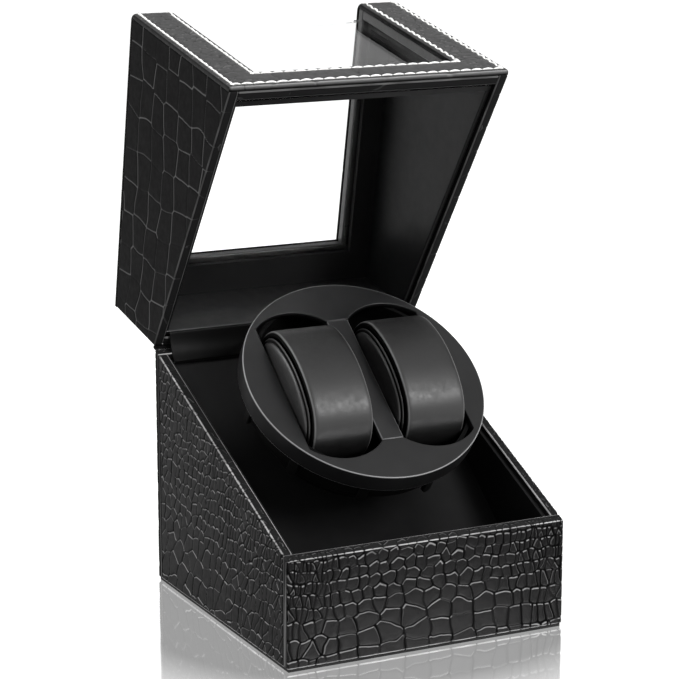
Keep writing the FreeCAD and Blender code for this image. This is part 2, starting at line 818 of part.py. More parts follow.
def build_hinges():
    """Two butt hinges across the back: leaves, pins and screws."""
    half = S.hinge_length / 2
    middle_half = S.hinge_length / 6
    gap = S.knuckle_gap / 2
    outer = [(-half, -middle_half - gap), (middle_half + gap, half)]
    inner = [(gap - middle_half, middle_half - gap)]
    base_leaves, lid_leaves, pins, base_screws, lid_screws = [], [], [], [], []
    for name, sign in SIDES.items():
        middle = sign * (S.hinge_spacing / 2)
        base_leaves.append(hinge_leaf(f"{name}_base_leaf", BASE, hinge_y, hinge_z, middle, -1, outer))
        lid_leaves.append(hinge_leaf(f"{name}_lid_leaf", LID, ZERO, ZERO, middle, 1, inner))
        pin = new_body(f"{name}_hinge_pin")
        section = circles(pin, "round", "YZ_Plane", middle, [(hinge_y, hinge_z)], S.pin_radius)
        pad(pin, section, S.hinge_length)
        pins.append(pin)
        for number, offset in enumerate((-S.hinge_screw_pitch / 2, S.hinge_screw_pitch / 2)):
            base_screws.append(hinge_screw(f"{name}_base_screw_{number}", BASE, hinge_y, middle + offset,
                                           hinge_z - S.hinge_screw_drop))
            lid_screws.append(hinge_screw(f"{name}_lid_screw_{number}", LID, ZERO, middle + offset,
                                          S.hinge_screw_drop))
    group("hinge_base_leaves", base_leaves)
    group("hinge_lid_leaves", lid_leaves)
    group("hinge_pins", pins)
    group("back_wall_screws", base_screws + rear_plate_screws())
    group("hinge_lid_screws", lid_screws)


def build_hinge_strip():
    """The soft strip that covers the gap between base and lid lining when the lid is open."""
    corner_y = lined_y - hinge_y
    corner_z = lid_rim(lined_y) + S.liner_drop - hinge_z
    lid_y = hinge_y + corner_y * cosine(S.open_angle) + corner_z * sine(S.open_angle)
    lid_z = hinge_z - corner_y * sine(S.open_angle) + corner_z * cosine(S.open_angle)
    thickness = S.strip_thickness
    low = deck_back_height + S.seat_gap * 2
    near = lined_y - S.seat_gap
    high_near = lid_y - thickness
    high = lid_z - S.fit_gap
    side = [(near - thickness, low), (near, low), (high_near, high), (high_near - thickness, high)]
    node(board("hinge_strip", S.fit_gap - lined_x, lined_x - S.fit_gap, side))


# Drum

def pocket_outline(middle):
    """A pocket's outline: straight sides and rounded ends, and the radius of the ends."""
    half = S.pocket_width / 2
    reach = S.pocket_side / 2
    rise = S.pocket_rise
    radius = (rise * rise + half * half) / (2 * rise)
    return rectangle(middle - half, -reach, middle + half, reach), {0: radius, 2: radius}


def build_drum_face():
    """The round face with its rim, two pockets, bridge recess and clips, and the inlaid bridge."""
    radius = S.drum_radius
    inside = radius - S.skirt_wall
    profile = [(0, ZERO), (radius, ZERO), (radius, -S.rim_depth),
               (inside, -S.rim_depth), (inside, -S.face_thickness), (0, -S.face_thickness)]
    face = node(turned("drum_face", profile, DRUM))
    for name, sign in SIDES.items():
        points, arcs = pocket_outline(sign * pocket_middle)
        opening = outline(face, f"{name}_pocket", "XY_Plane", ZERO, points, arcs)
        pocket(face, opening, S.face_thickness * THROUGH)
    half = S.bridge_width / 2
    reach = S.pocket_side / 2
    recess = outline(face, "bridge_recess", "XY_Plane", ZERO, rectangle(-half, -reach, half, reach))
    pocket(face, recess, S.bridge_thickness * 2)
    clip_outer = inside
    clip_inner = inside - S.clip_thickness
    clip = outline(face, "clip", "XY_Plane", -(S.face_thickness + S.clip_depth) / 2,
                   rectangle(clip_inner, -S.clip_width / 2, clip_outer, S.clip_width / 2))
    clip_pad = pad(face, clip, S.clip_depth - S.face_thickness)
    ring = face.newObject("PartDesign::PolarPattern", "drum_face_clips")
    ring.Originals = [clip_pad]
    ring.Axis = (clip, ["N_Axis"])
    ring.Angle = 360.0
    ring.Occurrences = CLIP_COUNT
    face.Tip = ring

    gap = S.fit_gap / 2
    node(plate("drum_bridge", rectangle(gap - half, gap - reach, half - gap, reach - gap),
               -S.bridge_thickness, ZERO, DRUM))


def build_drum_bowl():
    """The bowl behind the face, and the hub, screws, shaft and ring that carry it."""
    outer = S.drum_radius - S.skirt_wall - S.clip_thickness - S.fit_gap
    inner = outer - S.bowl_wall
    low_inner = S.bowl_floor_radius
    low_outer = low_inner + S.bowl_wall
    top = -S.face_thickness
    straight = -S.bowl_straight
    bore = S.shaft_radius + S.running_fit
    knee = straight + (floor_level - straight) / 2
    knee_in = S.bowl_wall
    profile = [(inner, top), (outer, top), (outer, straight), (outer - knee_in, knee),
               (low_outer, bowl_under), (bore, bowl_under), (bore, floor_level),
               (low_inner, floor_level), (inner - knee_in, knee), (inner, straight)]
    bowl = node(turned("drum_bowl", profile, DRUM))
    flange_low = bowl_under - S.hub_flange
    hub_low = deck_level + S.bush_flange + S.seat_gap
    profile = [(bore, bowl_under), (S.hub_flange_radius, bowl_under),
               (S.hub_flange_radius, flange_low), (S.hub_radius, flange_low),
               (S.hub_radius, hub_low), (bore, hub_low)]
    hub = node(turned("drum_hub", profile, DRUM))
    turns = [Size.of(360 / HUB_SCREW_COUNT * step) for step in range(HUB_SCREW_COUNT)]
    places = [(S.hub_screw_circle * cosine(turn), S.hub_screw_circle * sine(turn)) for turn in turns]
    hole = S.screw_shank + S.running_fit
    drill(bowl, "hub_screw_holes", "XY_Plane", floor_level, places, hole, S.floor_thickness * THROUGH)
    drill(bowl, "hub_screw_seats", "XY_Plane", floor_level, places, S.screw_head + S.running_fit,
          S.leaf_thickness * 2)
    drill(hub, "hub_screw_holes", "XY_Plane", bowl_under, places, hole, S.hub_flange * THROUGH)
    screws = []
    for number, (x, y) in enumerate(places):
        head_low = floor_level - S.leaf_thickness
        profile = [(0, floor_level), (S.screw_head, floor_level), (S.screw_head, head_low),
                   (S.screw_shank, head_low), (S.screw_shank, flange_low), (0, flange_low)]
        screws.append(turned(f"hub_screw_{number}", profile, DRUM, x, y))
    group("hub_screws", screws)

    shaft_low = plate_low - S.plate_gap - S.ring_thickness * 2
    profile = [(0, bowl_under), (S.shaft_radius, bowl_under), (S.shaft_radius, shaft_low), (0, shaft_low)]
    node(turned("drum_shaft", profile, DRUM))
    ring_top = plate_low - S.seat_gap
    ring_low = ring_top - S.ring_thickness
    ring_outer = S.shaft_radius + S.ring_width
    profile = [(bore, ring_top), (ring_outer, ring_top), (ring_outer, ring_low), (bore, ring_low)]
    node(turned("retaining_ring", profile, DRUM))


# Pillows

def oval(x, half_length, half_height, end_radius):
    """An oval of four arcs in the plane across X, centred on the pillow's own height."""
    a = half_length
    b = half_height
    r = end_radius
    side_radius = (a * a + b * b - 2 * a * r) / (2 * (b - r))
    lean = math.atan2(side_radius - b, a - r)
    centre_z = -S.pillow_sink.value

    def point(u, w):
        return Vector(x, u, centre_z + w)

    touch_u = a - r + r * math.cos(lean)
    touch_w = r * math.sin(lean)
    corners = [point(touch_u, touch_w), point(-touch_u, touch_w),
               point(-touch_u, -touch_w), point(touch_u, -touch_w)]
    middles = [point(0, b), point(-a, 0), point(0, -b), point(a, 0)]
    arcs = [Part.Arc(corners[side], middles[side], corners[(side + 1) % 4]).toShape() for side in range(4)]
    return Part.Wire(arcs)


def build_pillows():
    """Two watch pillows: foam core, wrapped band with a slight crown and two domed end pads."""
    a = S.pillow_half_length.value
    b = S.pillow_half_height.value
    r = S.pillow_end_radius.value
    band_half = S.band_width.value / 2
    crown = S.pillow_crown.value
    cover = S.band_thickness.value
    pad_start = band_half + S.pad_gap.value
    pad_end = S.pocket_width.value / 2 - S.pad_gap.value
    swell = pad_end - pad_start
    for name, sign in SIDES.items():
        middle = sign * pocket_middle.value
        band_steps = [(-band_half, crown), (0.0, 0.0), (band_half, crown)]
        skin = Part.makeLoft([oval(middle + x, a - drop, b - drop, r - drop) for x, drop in band_steps], True)
        inset = cover + crown
        hollow = Part.Face(oval(middle - band_half, a - inset, b - inset, r - inset))
        hollow = hollow.extrude(Vector(2 * band_half, 0, 0))
        node(shaped(f"{name}_pillow_band", skin.cut(hollow), DRUM))
        inset += S.fit_gap.value / 2
        core = Part.Face(oval(middle - band_half, a - inset, b - inset, r - inset))
        node(shaped(f"{name}_pillow_core", core.extrude(Vector(2 * band_half, 0, 0)), DRUM))
        pads = []
        for end in (-1, 1):
            ovals = [oval(middle + end * (pad_start + share * swell), a - drop, b - drop, r - drop)
                     for share, drop in PAD_PROFILE]
            pads.append(Part.makeLoft(ovals, True))
        node(shaped(f"{name}_pillow_pads", Part.makeCompound(pads), DRUM))


# Gear train

def gear_wire(teeth, phase, middle_point):
    """The outline of a spur gear with one tooth's middle at the phase angle."""
    pitch = S.module_size.value * teeth / 2
    base = pitch * math.cos(PRESSURE_ANGLE)
    tip = pitch + S.gear_addendum.value * S.module_size.value
    root = pitch - S.gear_dedendum.value * S.module_size.value
    half_tooth = math.pi / (2 * teeth) - S.gear_backlash.value / (4 * pitch)
    start = max(base, root)

    def involute(angle):
        return math.tan(angle) - angle

    def flank(radius):
        return half_tooth + involute(PRESSURE_ANGLE) - involute(math.acos(min(1.0, base / radius)))

    def at(radius, angle):
        return middle_point + Vector(radius * math.cos(angle), radius * math.sin(angle), 0)

    middle = (start + tip) / 2
    edges = []
    for tooth in range(teeth):
        centre = phase + 2 * math.pi * tooth / teeth
        following = centre + 2 * math.pi / teeth
        rise = [at(radius, centre - flank(radius)) for radius in (start, middle, tip)]
        fall = [at(radius, centre + flank(radius)) for radius in (tip, middle, start)]
        low_start = at(root, centre - flank(start))
        low_end = at(root, centre + flank(start))
        low_next = at(root, following - flank(start))
        if root < start:
            edges.append(Part.LineSegment(low_start, rise[0]))
        edges.append(Part.Arc(*rise))
        edges.append(Part.Arc(rise[2], at(tip, centre), fall[0]))
        edges.append(Part.Arc(*fall))
        if root < start:
            edges.append(Part.LineSegment(fall[2], low_end))
        edges.append(Part.Arc(low_end, at(root, centre + math.pi / teeth), low_next))
    return Part.Wire([edge.toShape() for edge in edges])


def gear_solid(teeth, phase, bore, low, high, place):
    """A spur gear between two levels at a place on the gear plate."""
    middle_point = Vector(place[0].value, place[1].value, low.value)
    hole = Part.Wire(Part.Circle(middle_point, Vector(0, 0, 1), bore.value).toShape())
    face = Part.makeFace([gear_wire(teeth, phase, middle_point), hole], "Part::FaceMakerBullseye")
    return face.extrude(Vector(0, 0, high.value - low.value))


idler_place = (idler_distance, ZERO)
motor_place = (idler_distance, -motor_distance)


def build_gears():
    """Output gear on the drum's shaft, compound idler and motor pinion, all in mesh."""
    bore = S.shaft_radius + S.running_fit
    node(shaped("output_gear", gear_solid(OUTPUT_TEETH, 0.0, bore, gear_low, gear_top, (ZERO, ZERO)), DRUM))
    axle_bore = S.axle_radius + S.running_fit
    small_phase = math.pi + math.pi / IDLER_SMALL_TEETH
    large_phase = -math.pi / 2
    small = gear_solid(IDLER_SMALL_TEETH, small_phase, axle_bore, second_top, gear_top, idler_place)
    large = gear_solid(IDLER_LARGE_TEETH, large_phase, axle_bore, second_low, second_top, idler_place)
    node(shaped("idler_gear", small.fuse(large), DRUM))
    pinion_phase = math.pi / 2 + math.pi / PINION_TEETH
    pinion = gear_solid(PINION_TEETH, pinion_phase, S.motor_shaft, second_low, second_top, motor_place)
    rotor_low = plate_low - S.motor_length * ROTOR_REACH
    foot = Vector(motor_place[0].value, motor_place[1].value, rotor_low.value)
    rotor = Part.makeCylinder(S.motor_shaft.value, (second_top - rotor_low).value, foot)
    node(shaped("motor_pinion", pinion.fuse(rotor), DRUM))


def plate_corners():
    """The plan limits of the gear plate."""
    left = -(S.shaft_radius + S.plate_margin * 2)
    right = idler_distance + S.module_size * (IDLER_LARGE_TEETH / 2)
    low = -(motor_distance + S.motor_radius)
    high = S.plate_margin * 2
    return left, low, right, high


def standoff_places():
    """Middle points of the gear plate's four standoffs."""
    left, low, right, high = plate_corners()
    inset = S.standoff_radius + S.fit_gap
    return [(x, y) for x in (left + inset, right - inset) for y in (low + inset, high - inset)]


def build_gear_plate():
    """The plate under the gears, its standoffs and screws, the idler's axle and the motor."""
    left, low, right, high = plate_corners()
    gear_plate = node(plate("gear_plate", rectangle(left, low, right, high), plate_low, plate_top, DRUM))
    level = (plate_low + plate_top) / 2
    through = S.plate_thickness * THROUGH
    shaft_hole = S.shaft_radius + S.running_fit
    drill(gear_plate, "shaft_hole", "XY_Plane", level, [(ZERO, ZERO)], shaft_hole, through)
    drill(gear_plate, "axle_hole", "XY_Plane", level, [idler_place], S.axle_radius, through)
    drill(gear_plate, "motor_hole", "XY_Plane", level, [motor_place], S.motor_hole, through)
    places = standoff_places()
    screw_hole = S.plate_screw_shank + S.running_fit
    drill(gear_plate, "standoff_holes", "XY_Plane", level, places, screw_hole, through)
    motor_x, motor_y = motor_place
    motor_screws_at = [(motor_x + sign * S.motor_screw_circle, motor_y) for sign in SIDES.values()]
    motor_hole = S.screw_shank + S.running_fit
    drill(gear_plate, "motor_screw_holes", "XY_Plane", level, motor_screws_at, motor_hole, through)

    standoffs, screws = [], []
    for number, (x, y) in enumerate(places):
        depth = plate_top + S.screw_length
        post = [(0, deck_under_level), (S.standoff_radius, deck_under_level), (S.standoff_radius, plate_top),
                (screw_hole, plate_top), (screw_hole, depth), (0, depth)]
        standoffs.append(turned(f"standoff_{number}", post, DRUM, x, y))
        head_low = plate_low - S.plate_screw_head / 2
        screw = [(0, depth), (S.plate_screw_shank, depth), (S.plate_screw_shank, plate_low),
                 (S.plate_screw_head, plate_low), (S.plate_screw_head, head_low), (0, head_low)]
        screws.append(turned(f"plate_screw_{number}", screw, DRUM, x, y))
    group("gear_plate_standoffs", standoffs)

    axle_top = gear_top + S.level_gap
    profile = [(0, axle_top), (S.axle_radius, axle_top), (S.axle_radius, plate_low), (0, plate_low)]
    node(turned("idler_axle", profile, DRUM, *idler_place))

    bore = S.motor_shaft + S.running_fit
    motor_low = plate_low - S.motor_length
    profile = [(bore, plate_low), (S.motor_radius, plate_low), (S.motor_radius, motor_low), (bore, motor_low)]
    can = node(turned("motor_can", profile, DRUM, *motor_place))
    drill(can, "screw_holes", "XY_Plane", plate_low, motor_screws_at, motor_hole, S.screw_length * 2)
    for number, (x, y) in enumerate(motor_screws_at):
        head_top = plate_top + S.level_gap
        tip = plate_low - S.screw_length + S.fit_gap
        screw = [(0, head_top), (S.screw_head, head_top), (S.screw_head, plate_top),
                 (S.screw_shank, plate_top), (S.screw_shank, tip), (0, tip)]
        screws.append(turned(f"motor_screw_{number}", screw, DRUM, x, y))
    group("gear_plate_screws", screws)


# Electrics

def rear_screw_places():
    """Places of the rear plate's four screws, across and up."""
    x = S.rear_plate_width / 2 - S.rear_opening_margin / 2
    z = S.rear_plate_height / 2 - S.rear_opening_margin / 2
    return [(sign * x, S.rear_plate_middle + rise * z) for sign in (-1, 1) for rise in (-1, 1)]


def rear_plate_screws():
    """The four screws that hold the rear plate."""
    outside = half_depth + S.rear_plate_thickness
    head = outside + S.leaf_thickness
    tip = half_depth - S.screw_length
    profile = [(0, head), (S.screw_head, head), (S.screw_head, outside),
               (S.screw_shank, outside), (S.screw_shank, tip), (0, tip)]
    return [turned_along_depth(f"rear_screw_{number}", profile, x, z)
            for number, (x, z) in enumerate(rear_screw_places())]


def build_rear_controls():
    """The rear plate with its power socket, mode switch and knob."""
    outside = half_depth + S.rear_plate_thickness
    half = S.rear_plate_width / 2
    low = S.rear_plate_middle - S.rear_plate_height / 2
    high = S.rear_plate_middle + S.rear_plate_height / 2
    side = [(half_depth, low), (outside, low), (outside, high), (half_depth, high)]
    rear_plate = node(board("rear_plate", -half, half, side))
    middle_z = S.rear_plate_middle
    socket_x = -S.control_spacing / 2
    knob_x = S.control_spacing / 2
    through = S.rear_plate_thickness * THROUGH
    drill(rear_plate, "screw_holes", "XZ_Plane", -half_depth, rear_screw_places(),
          S.screw_shank + S.running_fit, through)
    drill(rear_plate, "socket_hole", "XZ_Plane", -half_depth, [(socket_x, middle_z)],
          S.socket_radius, through)
    drill(rear_plate, "switch_hole", "XZ_Plane", -half_depth, [(knob_x, middle_z)],
          S.switch_shaft + S.running_fit, through)

    back = outside - S.socket_depth
    floor = back + S.rear_plate_thickness
    pin_tip = outside - S.rear_plate_thickness
    node(turned_along_depth("power_socket",
                            [(0, back), (S.socket_radius, back), (S.socket_radius, outside),
                             (S.socket_bore, outside), (S.socket_bore, floor), (S.socket_pin, floor),
                             (S.socket_pin, pin_tip), (0, pin_tip)], socket_x, middle_z))
    switch_back = half_depth - S.switch_depth
    shaft_end = outside + S.knob_height / 2
    node(turned_along_depth("mode_switch",
                            [(0, switch_back), (S.switch_radius, switch_back), (S.switch_radius, half_depth),
                             (S.switch_shaft, half_depth), (S.switch_shaft, shaft_end), (0, shaft_end)],
                            knob_x, middle_z))
    knob_near = outside + S.knob_gap
    knob_far = knob_near + S.knob_height
    bore = S.switch_shaft + S.running_fit
    bore_end = shaft_end + S.knob_gap
    taper = S.knob_radius - S.knob_height / 8
    profile = [(bore, knob_near), (S.knob_radius, knob_near), (taper, knob_far),
               (0, knob_far), (0, bore_end), (bore, bore_end)]
    knob = node(turned_along_depth("mode_knob", profile, knob_x, middle_z))
    mark = rectangle(knob_x - S.screw_shank / 2, middle_z + S.knob_radius / 3,
                     knob_x + S.screw_shank / 2, middle_z + S.knob_radius * 2)
    pocket(knob, outline(knob, "mark", "XZ_Plane", -knob_far, mark), S.knob_gap * THROUGH)


def build_control_board():
    """The control board on its standoffs, with its parts."""
    low = board_top + S.board_lift
    high = low + S.board_thickness
    left = S.board_x - S.board_width / 2
    right = S.board_x + S.board_width / 2
    near = S.board_y - S.board_depth / 2
    far = S.board_y + S.board_depth / 2
    node(plate("control_board", rectangle(left, near, right, far), low, high))
    inset = S.standoff_radius
    posts = []
    for x in (left + inset, right - inset):
        for y in (near + inset, far - inset):
            profile = [(0, board_top), (S.axle_radius, board_top), (S.axle_radius, low), (0, low)]
            posts.append(turned(f"board_post_{len(posts)}", profile, x=x, y=y))
    group("board_standoffs", posts)
    chip_x = S.board_width / 8
    chip_y = S.board_depth / 8
    chip_outline = rectangle(S.board_x - chip_x, S.board_y - chip_y, S.board_x + chip_x, S.board_y + chip_y)
    chip = plate("board_chip", chip_outline, high, high + S.board_thickness)
    can_x = left + S.board_width / 5
    can_radius = S.standoff_radius
    can_top = high + S.board_lift * 2
    profile = [(0, high), (can_radius, high), (can_radius, can_top), (0, can_top)]
    capacitor = turned("board_capacitor", profile, x=can_x, y=S.board_y)
    plug_low = right - S.board_lift
    half_plug = S.board_lift / 2
    plugs = []
    for name, y in lead_plugs().items():
        plug_outline = rectangle(plug_low, y - half_plug, right, y + half_plug)
        plugs.append(plate(f"board_plug_{name}", plug_outline, high, high + S.board_lift))
    group("board_parts", [chip, capacitor] + plugs)


def lead_plugs():
    """Depths of the two plugs on the control board's right edge."""
    return {"motor": S.board_y - S.board_depth / 4, "supply": S.board_y + S.board_depth / 4}


def rounded_path(points):
    """Straight runs joined by arcs as large as the runs allow."""
    edges = []
    start = points[0]
    for before, corner, after in zip(points, points[1:], points[2:]):
        inward = (before - corner).normalize()
        outward = (after - corner).normalize()
        turn = math.pi - inward.getAngle(outward)
        reach = BEND_SHARE * min((before - corner).Length, (after - corner).Length)
        radius = reach / math.tan(turn / 2)
        print(f"lead bend radius {radius:.1f}")
        first = corner + inward * reach
        last = corner + outward * reach
        bisector = (inward + outward).normalize()
        middle = corner + bisector * (math.hypot(radius, reach) - radius)
        edges.append(Part.LineSegment(start, first).toShape())
        edges.append(Part.Arc(first, middle, last).toShape())
        start = last
    edges.append(Part.LineSegment(start, points[-1]).toShape())
    return Part.Wire(edges)


def lead(label, points):
    """A round lead along a rounded route, checked against its section times its length."""
    path = rounded_path(points)
    first = path.Edges[0]
    way = first.tangentAt(first.FirstParameter)
    ring = Part.Wire(Part.Circle(points[0], way, S.lead_radius.value).toShape())
    tube = path.makePipeShell([ring], True, False)
    expected = math.pi * S.lead_radius.value ** 2 * path.Length
    if abs(tube.Volume / expected - 1) > VOLUME_TOLERANCE:
        raise RuntimeError(f"{label} has volume {tube.Volume:.2f}, expected {expected:.2f}")
    return shaped(label, tube)


def build_leads():
    """The motor's and the socket's leads to the control board."""
    board_right = (S.board_x + S.board_width / 2).value
    plug_height = (board_top + S.board_lift + S.board_thickness + S.board_lift / 2).value
    plugs = lead_plugs()
    motor_low = (plate_low - S.motor_length).value
    tail = DRUM.placement().multVec(Vector(motor_place[0].value, motor_place[1].value, motor_low))
    tail_way = DRUM.placement().Rotation.multVec(Vector(0, 0, -1))
    plug = Vector(board_right, plugs["motor"].value, plug_height)
    out = tail + tail_way * MOTOR_LEAD_EXIT
    low = out + MOTOR_LEAD_TURN
    low.z = max(low.z, board_top.value + S.lead_radius.value + S.fit_gap.value)
    bends = [plug + step for step in MOTOR_PLUG_BENDS]
    motor_lead = lead("motor_lead", [tail, out, low] + bends + [plug])

    socket_back = (half_depth + S.rear_plate_thickness - S.socket_depth).value
    socket = Vector(-S.control_spacing.value / 2, socket_back, S.rear_plate_middle.value)
    plug = Vector(board_right, plugs["supply"].value, plug_height)
    bends = [plug + step for step in SUPPLY_PLUG_BENDS]
    supply_lead = lead("supply_lead", [socket, socket + SOCKET_LEAD_EXIT] + bends + [plug])
    group("inner_leads", [motor_lead, supply_lead])


def check_and_export():
    """Refuse a failed or empty shape, then write one file per node."""
    doc.recompute()
    failed = [item.Name for item in doc.Objects if {"Invalid", "Error"} & set(item.State)]
    if failed:
        raise RuntimeError(f"objects failed: {failed}")
    for piece in nodes:
        if piece.Shape.isNull() or not piece.Shape.isValid() or not piece.Shape.Solids:
            raise RuntimeError(f"{piece.Label} has no valid solid")
    os.makedirs("parts", exist_ok=True)
    for piece in nodes:
        piece.Shape.exportStep(f"parts/{piece.Label}.step")
    print(f"{len(nodes)} nodes written")


build_base_walls()
build_base_lining()
build_deck()
build_lid_boards()
build_lid_trim()
build_lid_window()
build_lid_lining()
build_hinges()
build_hinge_strip()
build_drum_face()
build_drum_bowl()
build_pillows()
build_gears()
build_gear_plate()
build_rear_controls()
build_control_board()
build_leads()
check_and_export()
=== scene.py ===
"""The look of a watch winder box: leather walls, stitched lid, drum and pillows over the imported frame.

Every length is in metres and every piece stands in the frame of the CAD model. Sizes that the frame
knows are read from it; the rest are the fields of the sub-assembly that they belong to.
"""

import json
import logging
import math
from dataclasses import dataclass, field, replace
from enum import Enum
from typing import Any, Callable, Sequence

import bmesh
import bpy
import numpy as np
from mathutils import Matrix, Vector
from mathutils.geometry import tessellate_polygon


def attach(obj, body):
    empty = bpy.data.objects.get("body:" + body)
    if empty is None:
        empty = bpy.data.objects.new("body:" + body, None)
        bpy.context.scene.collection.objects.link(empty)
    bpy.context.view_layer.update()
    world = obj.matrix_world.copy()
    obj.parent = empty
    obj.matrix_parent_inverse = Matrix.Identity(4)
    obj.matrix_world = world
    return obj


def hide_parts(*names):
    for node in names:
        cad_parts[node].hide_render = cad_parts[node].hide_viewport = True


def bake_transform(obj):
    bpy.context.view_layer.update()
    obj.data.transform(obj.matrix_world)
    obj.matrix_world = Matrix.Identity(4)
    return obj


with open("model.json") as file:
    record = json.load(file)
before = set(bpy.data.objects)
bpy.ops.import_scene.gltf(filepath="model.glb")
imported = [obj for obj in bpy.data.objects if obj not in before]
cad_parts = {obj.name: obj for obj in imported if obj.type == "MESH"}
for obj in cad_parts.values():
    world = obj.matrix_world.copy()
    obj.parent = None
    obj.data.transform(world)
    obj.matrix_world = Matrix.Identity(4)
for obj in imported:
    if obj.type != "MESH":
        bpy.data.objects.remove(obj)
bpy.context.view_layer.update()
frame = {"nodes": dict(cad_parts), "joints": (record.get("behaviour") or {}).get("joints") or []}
LOG = logging.getLogger("watch_winder_box")

MM = 0.001
IMAGE_SIDE = 679
Colour = tuple[float, float, float]
# Rings across a pillow: distance from its middle and drop inside its outline, in millimetres, pale edge
# (partly wear, partly painted highlight), painted shade
Profile = tuple[tuple[float, float, float, float], ...]


# Drawing frames

class Place:
    """A square drawing frame of one sub-assembly, laid into the shared frame."""

    def __init__(self, origin: Sequence[float], axes: Sequence[Sequence[float]]) -> None:
        """Keeps the origin and the three drawing axes, each given in the shared frame."""
        self.origin = np.array(origin, float)
        self.axes = np.array(axes, float)

    def lay(self, points: np.ndarray) -> np.ndarray:
        """Drawn points, in the shared frame."""
        return points @ self.axes + self.origin

    def turn(self, directions: np.ndarray) -> np.ndarray:
        """Drawn directions, in the shared frame."""
        return directions @ self.axes

    def box(self, node: str) -> tuple[np.ndarray, np.ndarray]:
        """Lowest and highest corner of a CAD node as this drawing has it.

        Args:
            node: name of the CAD node.

        Returns:
            The two corners.
        """
        mesh = frame["nodes"][node].data
        points = np.empty(len(mesh.vertices) * 3)
        mesh.vertices.foreach_get("co", points)
        drawn = (points.reshape(-1, 3) - self.origin) @ self.axes.T
        return drawn.min(0), drawn.max(0)


def joint(name: str) -> dict[str, Any]:
    """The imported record's entry for a joint."""
    return next(entry for entry in frame["joints"] if entry["name"] == name)


def closed_lid() -> Place:
    """The lid drawn shut, which is the way its boards are square to the axes.

    Returns:
        The drawing frame.
    """
    hinge = joint("lid_hinge")
    pivot = np.array(hinge["pos_m"])
    swing = Matrix.Rotation(math.radians(hinge["range_deg"][0]), 3, "X")
    axes = np.array(swing).T
    return Place(pivot - pivot @ axes, axes)


def drum_face_place() -> Place:
    """The drum drawn with its face level, its axis upright and its centre at the origin.

    Returns:
        The drawing frame.
    """
    spin = joint("drum_spin")
    axis = Vector(spin["axis"])
    across = Vector((1.0, 0.0, 0.0))
    return Place(spin["pos_m"], [across, axis.cross(across), axis])


BASE = Place((0.0, 0.0, 0.0), np.eye(3))
STANDING = Place((0.0, 0.0, 0.0), [(0, 0, 1), (0, 1, 0), (1, 0, 0)])
LID = closed_lid()
DRUM = drum_face_place()


@dataclass(frozen=True)
class Window:
    """The opening that goes over the lid's front edge, with the lid drawn shut."""

    half: float = 54 * MM
    low: float = 76.1 * MM
    back: float = 53 * MM


WINDOW = Window()


# Mesh drawing

class MeshDraft:
    """Points and faces of one piece, collected before they become a mesh."""

    def __init__(self) -> None:
        """Starts with nothing drawn."""
        self.points: list[np.ndarray] = []
        self.marks: list[dict[str, np.ndarray]] = []
        self.faces: list[Sequence[int]] = []
        self.smooth: list[bool] = []
        self.size = 0

    def add(self, points: np.ndarray, **marks: np.ndarray) -> np.ndarray:
        """Adds a table of points.

        Args:
            points: array whose last axis is x, y, z.
            marks: values per point that the material reads, by name.

        Returns:
            The points' numbers, in the same table shape.
        """
        flat = points.reshape(-1, 3)
        numbers = np.arange(self.size, self.size + len(flat)).reshape(points.shape[:-1])
        self.points.append(flat)
        self.marks.append({name: np.broadcast_to(value, points.shape[:-1]).ravel()
                           for name, value in marks.items()})
        self.size += len(flat)
        return numbers

    def grid(self, table: np.ndarray, wrap: bool = False, smooth: bool = True) -> None:
        """Joins a table of point numbers into quads.

        Args:
            table: point numbers, rows by columns.
            wrap: whether each row closes on itself.
            smooth: whether the faces are shaded smooth.
        """
        if wrap:
            table = np.hstack([table, table[:, :1]])
        quads = np.stack([table[:-1, :-1], table[:-1, 1:], table[1:, 1:], table[1:, :-1]], -1)
        self.join(quads.reshape(-1, 4).tolist(), smooth)

    def join(self, faces: Sequence[Sequence[int]], smooth: bool = True) -> None:
        """Adds faces given by their point numbers."""
        self.faces.extend(faces)
        self.smooth.extend([smooth] * len(faces))

    def fill(self, loops: Sequence[np.ndarray], smooth: bool = False) -> None:
        """Closes a flat region between an outline and the holes in it.

        Args:
            loops: point numbers of the outline, then of each hole.
            smooth: whether the faces are shaded smooth.
        """
        everything = np.vstack(self.points)
        numbers = np.concatenate(loops)
        rings = [[Vector(everything[number]) for number in loop] for loop in loops]
        self.join([[int(numbers[corner]) for corner in face] for face in tessellate_polygon(rings)], smooth)

    def build(self, name: str, place: Place) -> bpy.types.Object:
        """Makes the object, with doubles merged and faces turned outwards.

        Args:
            name: name of the piece.
            place: drawing frame of the points.

        Returns:
            The new object, at the origin, with its place in its mesh.
        """
        mesh = bpy.data.meshes.new(name)
        mesh.from_pydata(place.lay(np.vstack(self.points)).tolist(), [], self.faces)
        mesh.polygons.foreach_set("use_smooth", self.smooth)
        for mark in sorted({key for marks in self.marks for key in marks}):
            values = [marks.get(mark, np.zeros(len(points)))
                      for marks, points in zip(self.marks, self.points)]
            layer = mesh.attributes.new(mark, "FLOAT", "POINT")
            layer.data.foreach_set("value", np.concatenate(values).astype(np.float32))
        piece = new_object(name, mesh)
        close_mesh(piece)
        return piece


def new_object(name: str, mesh: bpy.types.Mesh) -> bpy.types.Object:
    """An object with that mesh, linked to the scene.

    Args:
        name: name of the piece.
        mesh: its mesh.

    Returns:
        The object.
    """
    piece = bpy.data.objects.new(name, mesh)
    bpy.context.scene.collection.objects.link(piece)
    return piece


